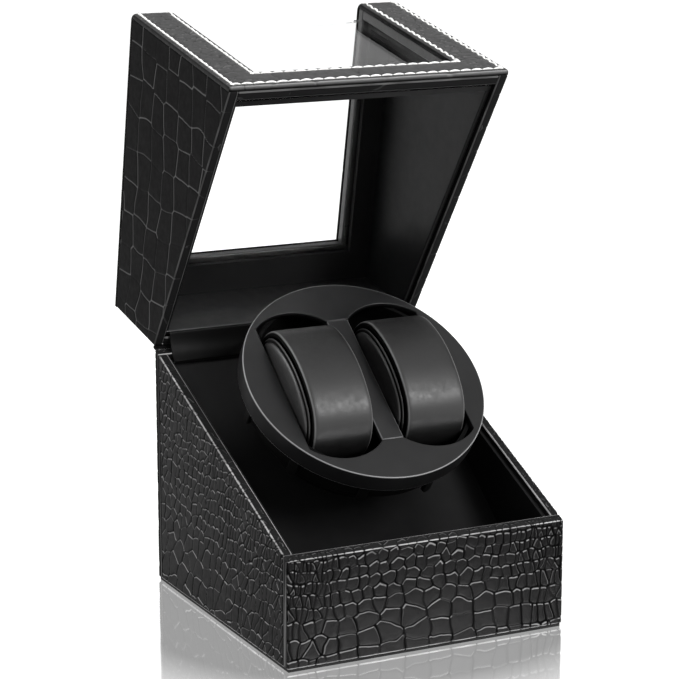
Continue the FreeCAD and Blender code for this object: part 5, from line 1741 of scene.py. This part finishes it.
@dataclass
class Drum:
    """The turning drum: face with two pockets, rim, bridge and clips."""

    pocket_near: float = 6 * MM
    pocket_far: float = 45.5 * MM
    pocket_half: float = 39 * MM
    pocket_rise: float = 8 * MM
    face_depth: float = 3 * MM
    rim_depth: float = 10.5 * MM
    rim_wall: float = 3 * MM
    edge: float = 0.6 * MM
    lip: float = 0.5 * MM
    rim_bevel: float = 0.4 * MM
    pocket_edge: float = 0.5 * MM
    bridge_edge: float = 0.6 * MM
    clip_count: int = 10
    clip_width: float = 5 * MM
    clip_thickness: float = 2.2 * MM
    clip_foot: float = 1.6 * MM
    clip_edge: float = 0.5 * MM
    segments: int = 216

    def opening(self) -> np.ndarray:
        """Outline of both pockets and the bridge between them, clockwise.

        Returns:
            The outline's points.
        """
        near, far, half, rise = self.pocket_near, self.pocket_far, self.pocket_half, self.pocket_rise
        runs = [arc_between((-far, half), (-near, half), rise, 20),
                np.linspace((-near, half), (near, half), 6, endpoint=False),
                arc_between((near, half), (far, half), rise, 20),
                np.linspace((far, half), (far, -half), 24, endpoint=False),
                arc_between((far, -half), (near, -half), rise, 20),
                np.linspace((near, -half), (-near, -half), 6, endpoint=False),
                arc_between((-near, -half), (-far, -half), rise, 20),
                np.linspace((-far, -half), (-far, half), 24, endpoint=False)]
        return np.concatenate(runs)

    def build(self) -> None:
        """Makes and dresses the drum's face, bridge and clips."""
        self.face()
        self.bridge()
        self.clips()

    def face(self) -> None:
        """The face and its rim as one turned shell with the opening through it."""
        radius = DRUM.box("drum_face")[1][0]
        inside = radius - self.rim_wall
        quarter = np.linspace(0, math.pi / 2, 6)
        profile = [(radius - self.edge * (1 - math.sin(a)), -self.edge * (1 - math.cos(a))) for a in quarter]
        profile.append((radius, -self.edge * 1.8))
        profile += [(radius - self.lip * (1 - math.cos(a)), -self.rim_depth + self.lip * (1 - math.sin(a)))
                    for a in quarter]
        profile += [(inside + self.rim_bevel, -self.rim_depth), (inside, -self.rim_depth + self.rim_bevel),
                    (inside, -self.face_depth)]
        # Pale crests on the rounded edges (painted highlight, partly wear) and little reflection on the
        # outer side (painted shade)
        crest = np.sin(2 * quarter)
        worn = np.concatenate([crest, [0.0], crest, np.zeros(len(profile) - 2 * len(crest) - 1)])
        flank = np.zeros(len(profile))
        flank[len(crest):len(crest) + 2] = 1.0
        rings = [at_level(circle(reach, self.segments), level) for reach, level in profile]
        draft = MeshDraft()
        outer = draft.add(np.stack(rings), worn=worn[:, None], flank=flank[:, None])
        draft.grid(outer, wrap=True)
        hole = self.opening()
        rings = []
        for angle in np.linspace(0, math.pi / 2, 5):
            ring = offset_loop(hole, self.pocket_edge * (1 - math.sin(angle)))
            rings.append(at_level(ring, -self.pocket_edge * (1 - math.cos(angle))))
        rings.append(at_level(hole, -self.face_depth))
        inner = draft.add(np.stack(rings))
        draft.grid(inner, wrap=True)
        draft.fill([outer[0], inner[0]])
        draft.fill([outer[-1], inner[-1]])
        settle(draft.build("drum_face_shell", DRUM), BLACK_PLASTIC, "drum", "drum_plastic", "drum_face")

    def bridge(self) -> None:
        """The plate between the pockets, with rounded edges."""
        low, high = DRUM.box("drum_bridge")
        corners = np.array([(low[0], low[1]), (high[0], low[1]), (high[0], high[1]), (low[0], high[1])])
        plate = plate_draft([corners], -self.face_depth, high[2], self.bridge_edge)
        settle(plate.build("drum_bridge_plate", DRUM), BRIDGE_PLASTIC, "drum", "bridge_plastic",
               "drum_bridge")

    def clips(self) -> None:
        """The ring of clips under the rim."""
        low, high = DRUM.box("drum_face")
        inside = high[0] - self.rim_wall
        half = self.clip_width / 2
        foot = self.clip_foot
        corners = np.array([(low[2], foot - half), (low[2] + foot, -half), (-self.face_depth, -half),
                            (-self.face_depth, half), (low[2] + foot, half), (low[2], half - foot)])
        clip = plate_draft([corners], -self.clip_thickness, 0.0, self.clip_edge)
        part = clip.build("drum_clip", STANDING)
        points = at_level(circle(inside, self.clip_count), 0.0)
        facing = points / inside
        guide = point_guide("drum_clips", DRUM.lay(points), DRUM.turn(facing))
        clips = planted_tree().grow(guide, Part=part, Upright=tuple(DRUM.axes[2]), Turn=0.0,
                                    Material=BOWL_PLASTIC.material())
        bpy.data.objects.remove(part)
        settle(clips, BOWL_PLASTIC, "drum", "drum_plastic")


@dataclass
class Screws:
    """Cross-head screws in the hinge leaves and the rear plate."""

    head: float = 1.9 * MM
    rise: float = 0.7 * MM
    sunk: float = 0.3 * MM
    edge: float = 0.25 * MM
    slot_reach: float = 1.15 * MM
    slot_half: float = 0.3 * MM
    leaf_face: float = 81 * MM
    leaf_across: tuple[float, ...] = (-54 * MM, -36 * MM, 36 * MM, 54 * MM)
    leaf_up: tuple[float, float] = (116.8 * MM, 134.8 * MM)
    plate_across: float = 23.5 * MM
    plate_up: tuple[float, float] = (23.5 * MM, 44.5 * MM)

    def part(self) -> bpy.types.Object:
        """One screw head: a low round plate with a cross through it.

        Returns:
            The part, with its axis along x.
        """
        long, half = self.slot_reach, self.slot_half
        arm = np.array([(long, half), (long, -half), (half, -half)])
        quarter = np.array([(0, -1), (1, 0)])
        cross = np.vstack([arm @ np.linalg.matrix_power(quarter, turn) for turn in range(4)])
        outline = circle(self.head, 20)
        return plate_draft([outline, cross], -self.sunk, self.rise, self.edge).build("screw_head", STANDING)

    def build(self) -> None:
        """Plants the screws of the base and of the lid."""
        plate_face = BASE.box("rear_plate")[1][1]
        base = [(x, self.leaf_face, self.leaf_up[0]) for x in self.leaf_across]
        base += [(x, plate_face, z) for x in (-self.plate_across, self.plate_across) for z in self.plate_up]
        lid = [(x, self.leaf_face, self.leaf_up[1]) for x in self.leaf_across]
        for body, place, points, node in (("base", BASE, base, "back_wall_screws"),
                                          ("lid", LID, lid, "hinge_lid_screws")):
            facing = np.tile((0.0, 1.0, 0.0), (len(points), 1))
            guide = point_guide(f"{body}_screw_heads", place.lay(np.array(points)), place.turn(facing))
            part = self.part()
            heads = planted_tree().grow(guide, Part=part, Upright=tuple(place.axes[2]), Turn=math.pi,
                                        Material=SCREW_STEEL.material())
            bpy.data.objects.remove(part)
            settle(heads, SCREW_STEEL, body, "steel", node)


@dataclass
class Pillows:
    """Two watch pillows: each a leather band round a core, and a piped pad at each end."""

    half_length: float = 36.5 * MM
    half_height: float = 25.5 * MM
    end_radius: float = 23 * MM
    proud: float = 2 * MM
    segments: int = 144
    # The last two columns of each ring: a pale edge (painted highlight, partly wear) and painted shade in
    # the seams
    band: Profile = (
        (0.0, 0.0, 0.0, 0.0), (8.0, 0.0, 0.0, 0.0), (13.4, 0.04, 0.0, 0.0), (15.0, 0.16, 0.1, 0.0),
        (15.6, 0.4, 1.0, 0.0), (15.9, 0.8, 0.5, 0.2), (16.0, 1.3, 0.0, 1.0), (15.95, 3.0, 0.0, 1.0),
        (14.0, 3.7, 0.0, 1.0), (0.0, 3.7, 0.0, 1.0))
    piping: Profile = (
        (16.0, 9.0, 0.0, 1.0), (16.25, 5.2, 0.0, 1.0), (16.35, 4.5, 0.0, 0.8), (16.6, 3.85, 0.0, 0.0),
        (16.95, 3.65, 0.2, 0.0), (17.25, 3.9, 0.0, 0.0), (17.4, 4.5, 0.0, 0.9))
    pad: Profile = (
        (17.35, 6.1, 0.0, 1.0), (17.5, 5.6, 0.0, 0.4), (17.9, 5.65, 0.0, 0.0), (18.4, 6.3, 0.0, 0.0),
        (18.75, 7.4, 0.0, 0.0), (18.95, 9.0, 0.0, 0.0), (19.05, 11.2, 0.0, 0.0), (19.08, 13.8, 0.0, 0.2))
    closing: tuple[float, ...] = (0.75, 0.45, 0.2)
    fill: float = 0.8
    pressure: float = 4.0
    frames: int = 20
    most_swell: float = 0.6 * MM
    evening: int = 6
    coarser: int = 3

    def oval(self) -> tuple[np.ndarray, np.ndarray]:
        """The pillow's outline of four arcs and its outward directions.

        Returns:
            Points and directions, evenly spaced along the outline.
        """
        a, b, r = self.half_length, self.half_height, self.end_radius
        sink = ((a - r) ** 2 - (b - r) ** 2) / (2 * (b - r))
        large = b + sink
        lean = math.atan2(sink, a - r)
        lengths = np.array([2 * r * lean, large * (math.pi - 2 * lean)] * 2)
        starts = np.array([-lean, lean, math.pi - lean, math.pi + lean])
        sweeps = np.array([2 * lean, math.pi - 2 * lean] * 2)
        walked = np.linspace(0, lengths.sum(), self.segments, endpoint=False)
        ends = np.cumsum(lengths)
        part = np.searchsorted(ends, walked, side="right")
        share = (walked - (ends - lengths)[part]) / lengths[part]
        angle = starts[part] + share * sweeps[part]
        out = np.stack([np.cos(angle), np.sin(angle)], 1)
        centre = np.array([(a - r, 0.0), (0.0, -sink), (r - a, 0.0), (0.0, sink)])[part]
        return centre + out * np.where(part % 2 == 0, r, large)[:, None], out

    def rings(self, profile: Profile) -> np.ndarray:
        """Outlines of a pillow round its own middle.

        Args:
            profile: the rings' profile.

        Returns:
            One outline for each ring.
        """
        points, out = self.oval()
        made = [np.column_stack([np.full(len(points), x * MM), points - out * drop * MM])
                for x, drop, _, _ in profile]
        return np.stack(made)

    def marks(self, profile: Profile, plain: int = 0) -> dict[str, np.ndarray]:
        """Pale edge (partly wear, partly painted highlight) and painted shade of each ring, for the
        material.

        Args:
            profile: the rings' profile.
            plain: number of unmarked rings after them.

        Returns:
            The marks, by name.
        """
        table = np.array([ring[2:] for ring in profile] + [(0.0, 0.0)] * plain)
        return {"worn": table[:, :1], "groove": table[:, 1:]}

    def pad_rings(self) -> np.ndarray:
        """Rings of a pad before it is filled.

        Returns:
            The rings, from the seam to the middle.
        """
        rings = self.rings(self.pad)
        middle = rings[-1].mean(0)
        closing = np.stack([middle + (rings[-1] - middle) * share for share in self.closing])
        return np.concatenate([rings, closing])

    def swell(self, rings: np.ndarray) -> np.ndarray:
        """A pad's rings after its filling has pressed the leather out from its seam.

        Args:
            rings: rings from the seam, which is held, to the middle of the pad.

        Returns:
            The rings, moved.
        """
        coarse = rings[:, ::self.coarser]
        draft = MeshDraft()
        table = draft.add(coarse)
        draft.grid(table, wrap=True)
        draft.join([table[0].tolist(), table[-1].tolist()])
        trial = draft.build("pad_trial", BASE)
        trial.vertex_groups.new(name="seam").add(table[0].tolist(), 1.0, "REPLACE")
        cloth = trial.modifiers.new("filling", "CLOTH").settings
        cloth.vertex_group_mass = "seam"
        cloth.use_pressure = True
        cloth.uniform_pressure_force = self.pressure
        cloth.effector_weights.gravity = 0.0
        for moment in range(1, self.frames + 1):
            bpy.context.scene.frame_set(moment)
        shown = trial.evaluated_get(bpy.context.evaluated_depsgraph_get()).data
        points = np.empty(len(shown.vertices) * 3)
        shown.vertices.foreach_get("co", points)
        bpy.data.objects.remove(trial)
        bpy.context.scene.frame_set(1)
        moved = np.repeat(points.reshape(coarse.shape) - coarse, self.coarser, 1)
        nearby = range(-self.evening, self.evening + 1)
        moved = sum(np.roll(moved, step, 1) for step in nearby) / len(nearby)
        far = np.linalg.norm(moved, axis=-1, keepdims=True)
        LOG.info("pad swells by up to %.2f mm", far.max() / MM)
        return rings + moved * np.minimum(1, self.most_swell / np.maximum(far, 1e-9))

    def build(self) -> None:
        """Makes and dresses both pillows; all four pads are filled alike."""
        pad = np.concatenate([self.rings(self.piping), self.swell(self.pad_rings())])
        self.dress("left_pillow", pad)
        self.dress("right_pillow", pad)

    def dress(self, node: str, pad: np.ndarray) -> None:
        """Makes and dresses the band and the two pads of one pillow.

        Args:
            node: first words of the pillow's CAD nodes, which are also its body.
            pad: rings of one pad, from its back to its middle.
        """
        low, high = DRUM.box(f"{node}_band")
        middle = (low + high) / 2 + (0, 0, self.proud)
        profile = tuple((-x, *rest) for x, *rest in self.band[-2:0:-1]) + self.band
        draft = MeshDraft()
        table = draft.add(self.rings(profile) + middle, **self.marks(profile))
        draft.grid(np.vstack([table, table[:1]]), wrap=True)
        band = draft.build(f"{node}_leather_band", DRUM)
        draft = MeshDraft()
        for side in (-1, 1):
            table = draft.add(pad * (side, 1, 1) + middle,
                              **self.marks(self.piping + self.pad, len(self.closing)))
            draft.grid(table, wrap=True)
            draft.join([table[-1].tolist(), table[0].tolist()])
        pads = draft.build(f"{node}_leather_pads", DRUM)
        settle(band, PILLOW, node, "pillow_leather", f"{node}_band", f"{node}_core")
        settle(pads, PAD, node, "pillow_leather", f"{node}_pads")


@dataclass
class HingeStrip:
    """The soft strip that covers the gap behind the deck when the lid is open."""

    thickness: float = 0.8 * MM
    sag: float = 1.4 * MM
    steps: int = 14
    spacing: float = 6 * MM
    end_spacing: float = 1.5 * MM

    def build(self) -> None:
        """Makes the strip and bends it between base and lid."""
        low, high = BASE.box("hinge_strip")
        start = np.array([low[1] + self.thickness, low[2]])
        end = np.array([high[1], high[2]])
        share = np.linspace(0, 1, self.steps)
        ahead = (end - start) / np.linalg.norm(end - start)
        side = np.array([-ahead[1], ahead[0]])
        path = start + np.outer(share, end - start) - np.outer(self.sag * np.sin(math.pi * share), side)
        across = graded(low[0], high[0], self.spacing, self.end_spacing)
        loops = np.vstack([path, path[::-1] + side * self.thickness])
        drawn = np.empty((len(across), len(loops), 3))
        drawn[..., 0] = across[:, None]
        drawn[..., 1:] = loops[None]
        draft = MeshDraft()
        table = draft.add(drawn)
        draft.grid(table, wrap=True)
        draft.join([table[0].tolist(), table[-1].tolist()], smooth=False)
        strip = draft.build("hinge_strip_cloth", BASE)
        wear(strip, STRIP_CLOTH)
        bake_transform(strip)
        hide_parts("hinge_strip")
        length = np.linalg.norm(np.diff(path, axis=0), axis=1).sum()
        LOG.info("%s bends between base and lid", strip.name)


# Studio

@dataclass
class Studio:
    """Camera, lamps, floor and surroundings of the photograph."""

    position: tuple[float, float, float] = (-0.54997, -1.08603, 0.41488)
    target: tuple[float, float, float] = (-0.01632, 0.0, 0.12779)
    roll: float = math.radians(-0.112)
    focal_pixels: float = 2478.97
    centre: tuple[float, float] = (325.57, 364.17)
    sensor: float = 36.0
    floor_half: float = 14.0
    ceiling: tuple[float, float, float, float] = (0.4, 0.75, 1.0, 0.14)

    def build(self) -> None:
        """Sets up everything that isn't part of the object."""
        bpy.context.scene.view_settings.view_transform = "Standard"
        self.camera()
        self.lamps()
        self.floor()
        self.world()

    def camera(self) -> None:
        """The camera where the photograph was taken from."""
        data = bpy.data.cameras.new("camera")
        data.sensor_width = self.sensor
        data.lens = self.focal_pixels * self.sensor / IMAGE_SIDE
        data.shift_x = (IMAGE_SIDE / 2 - self.centre[0]) / IMAGE_SIDE
        data.shift_y = (self.centre[1] - IMAGE_SIDE / 2) / IMAGE_SIDE
        data.clip_end = 100.0
        camera = bpy.data.objects.new("camera", data)
        look = (Vector(self.target) - Vector(self.position)).to_track_quat("-Z", "Y").to_matrix()
        turned = look @ Matrix.Rotation(self.roll, 3, "Z")
        camera.matrix_world = Matrix.Translation(self.position) @ turned.to_4x4()
        bpy.context.scene.collection.objects.link(camera)
        bpy.context.scene.camera = camera

    def lamp(self, name: str, place: Sequence[float], aim: Sequence[float], size: tuple[float, float],
             power: float) -> None:
        """Adds a soft box.

        Args:
            name: name of the lamp.
            place: where it hangs.
            aim: point that it shines at.
            size: width and height of its face.
            power: power in watts.
        """
        data = bpy.data.lights.new(name, "AREA")
        data.shape = "RECTANGLE"
        data.size, data.size_y = size
        data.energy = power
        lamp = bpy.data.objects.new(name, data)
        turn = (Vector(aim) - Vector(place)).to_track_quat("-Z", "Y").to_matrix().to_4x4()
        lamp.matrix_world = Matrix.Translation(place) @ turn
        lamp.visible_camera = False
        bpy.context.scene.collection.objects.link(lamp)

    def lamps(self) -> None:
        """A tall soft box at the front right, a wide one overhead and a smaller one on the left."""
        self.lamp("front", (0.78, -1.52, 1.1), (0.0, 0.0, 0.12), (0.6, 0.9), 36.0)
        self.lamp("overhead", (0.1, 0.0, 1.5), (0.1, 0.01, 0.1), (1.7, 1.3), 10.0)
        self.lamp("left", (-1.0, 0.45, 0.95), (0.0, 0.0, 0.15), (0.6, 1.1), 11.0)

    def floor(self) -> None:
        """A wide white floor under the box."""
        half = self.floor_half
        draft = MeshDraft()
        ticks = np.linspace(-half, half, 5)
        y, x = np.meshgrid(ticks, ticks, indexing="ij")
        draft.grid(draft.add(np.stack([x, y, np.zeros_like(x)], -1)))
        floor = draft.build("studio_floor", BASE)
        if floor.data.polygons[0].normal.z < 0:
            floor.data.flip_normals()
        wear(floor, FLOOR)

    def world(self) -> None:
        """White surroundings up to a little over the horizon, and a dim ceiling above them."""
        world = bpy.data.worlds.new("studio")
        bpy.context.scene.world = world
        world.use_nodes = True
        tree = world.node_tree
        tree.nodes.clear()
        direction = tree.nodes.new("ShaderNodeTexCoord")
        parts = tree.nodes.new("ShaderNodeSeparateXYZ")
        tree.links.new(direction.outputs["Generated"], parts.inputs[0])
        level = tree.nodes.new("ShaderNodeMapRange")
        level.interpolation_type = "SMOOTHSTEP"
        for key, value in zip(("From Min", "From Max", "To Min", "To Max"), self.ceiling):
            level.inputs[key].default_value = value
        tree.links.new(parts.outputs["Z"], level.inputs["Value"])
        light = tree.nodes.new("ShaderNodeBackground")
        tree.links.new(level.outputs["Result"], light.inputs["Strength"])
        output = tree.nodes.new("ShaderNodeOutputWorld")
        tree.links.new(light.outputs[0], output.inputs[0])


def dress_carried_over() -> None:
    """Gives every CAD node that stays its finish."""
    for finish, nodes in CARRIED_OVER.items():
        for node in nodes:
            wear(frame["nodes"][node], finish)


def main() -> None:
    """Builds the box piece by piece."""
    logging.basicConfig(level=logging.INFO, format="%(name)s: %(message)s")
    Studio().build()
    dress_carried_over()
    BaseBox().build()
    LidBox().build()
    StitchedTrim().build()
    Drum().build()
    Pillows().build()
    HingeStrip().build()
    Screws().build()


if __name__ == "__main__":
    main()
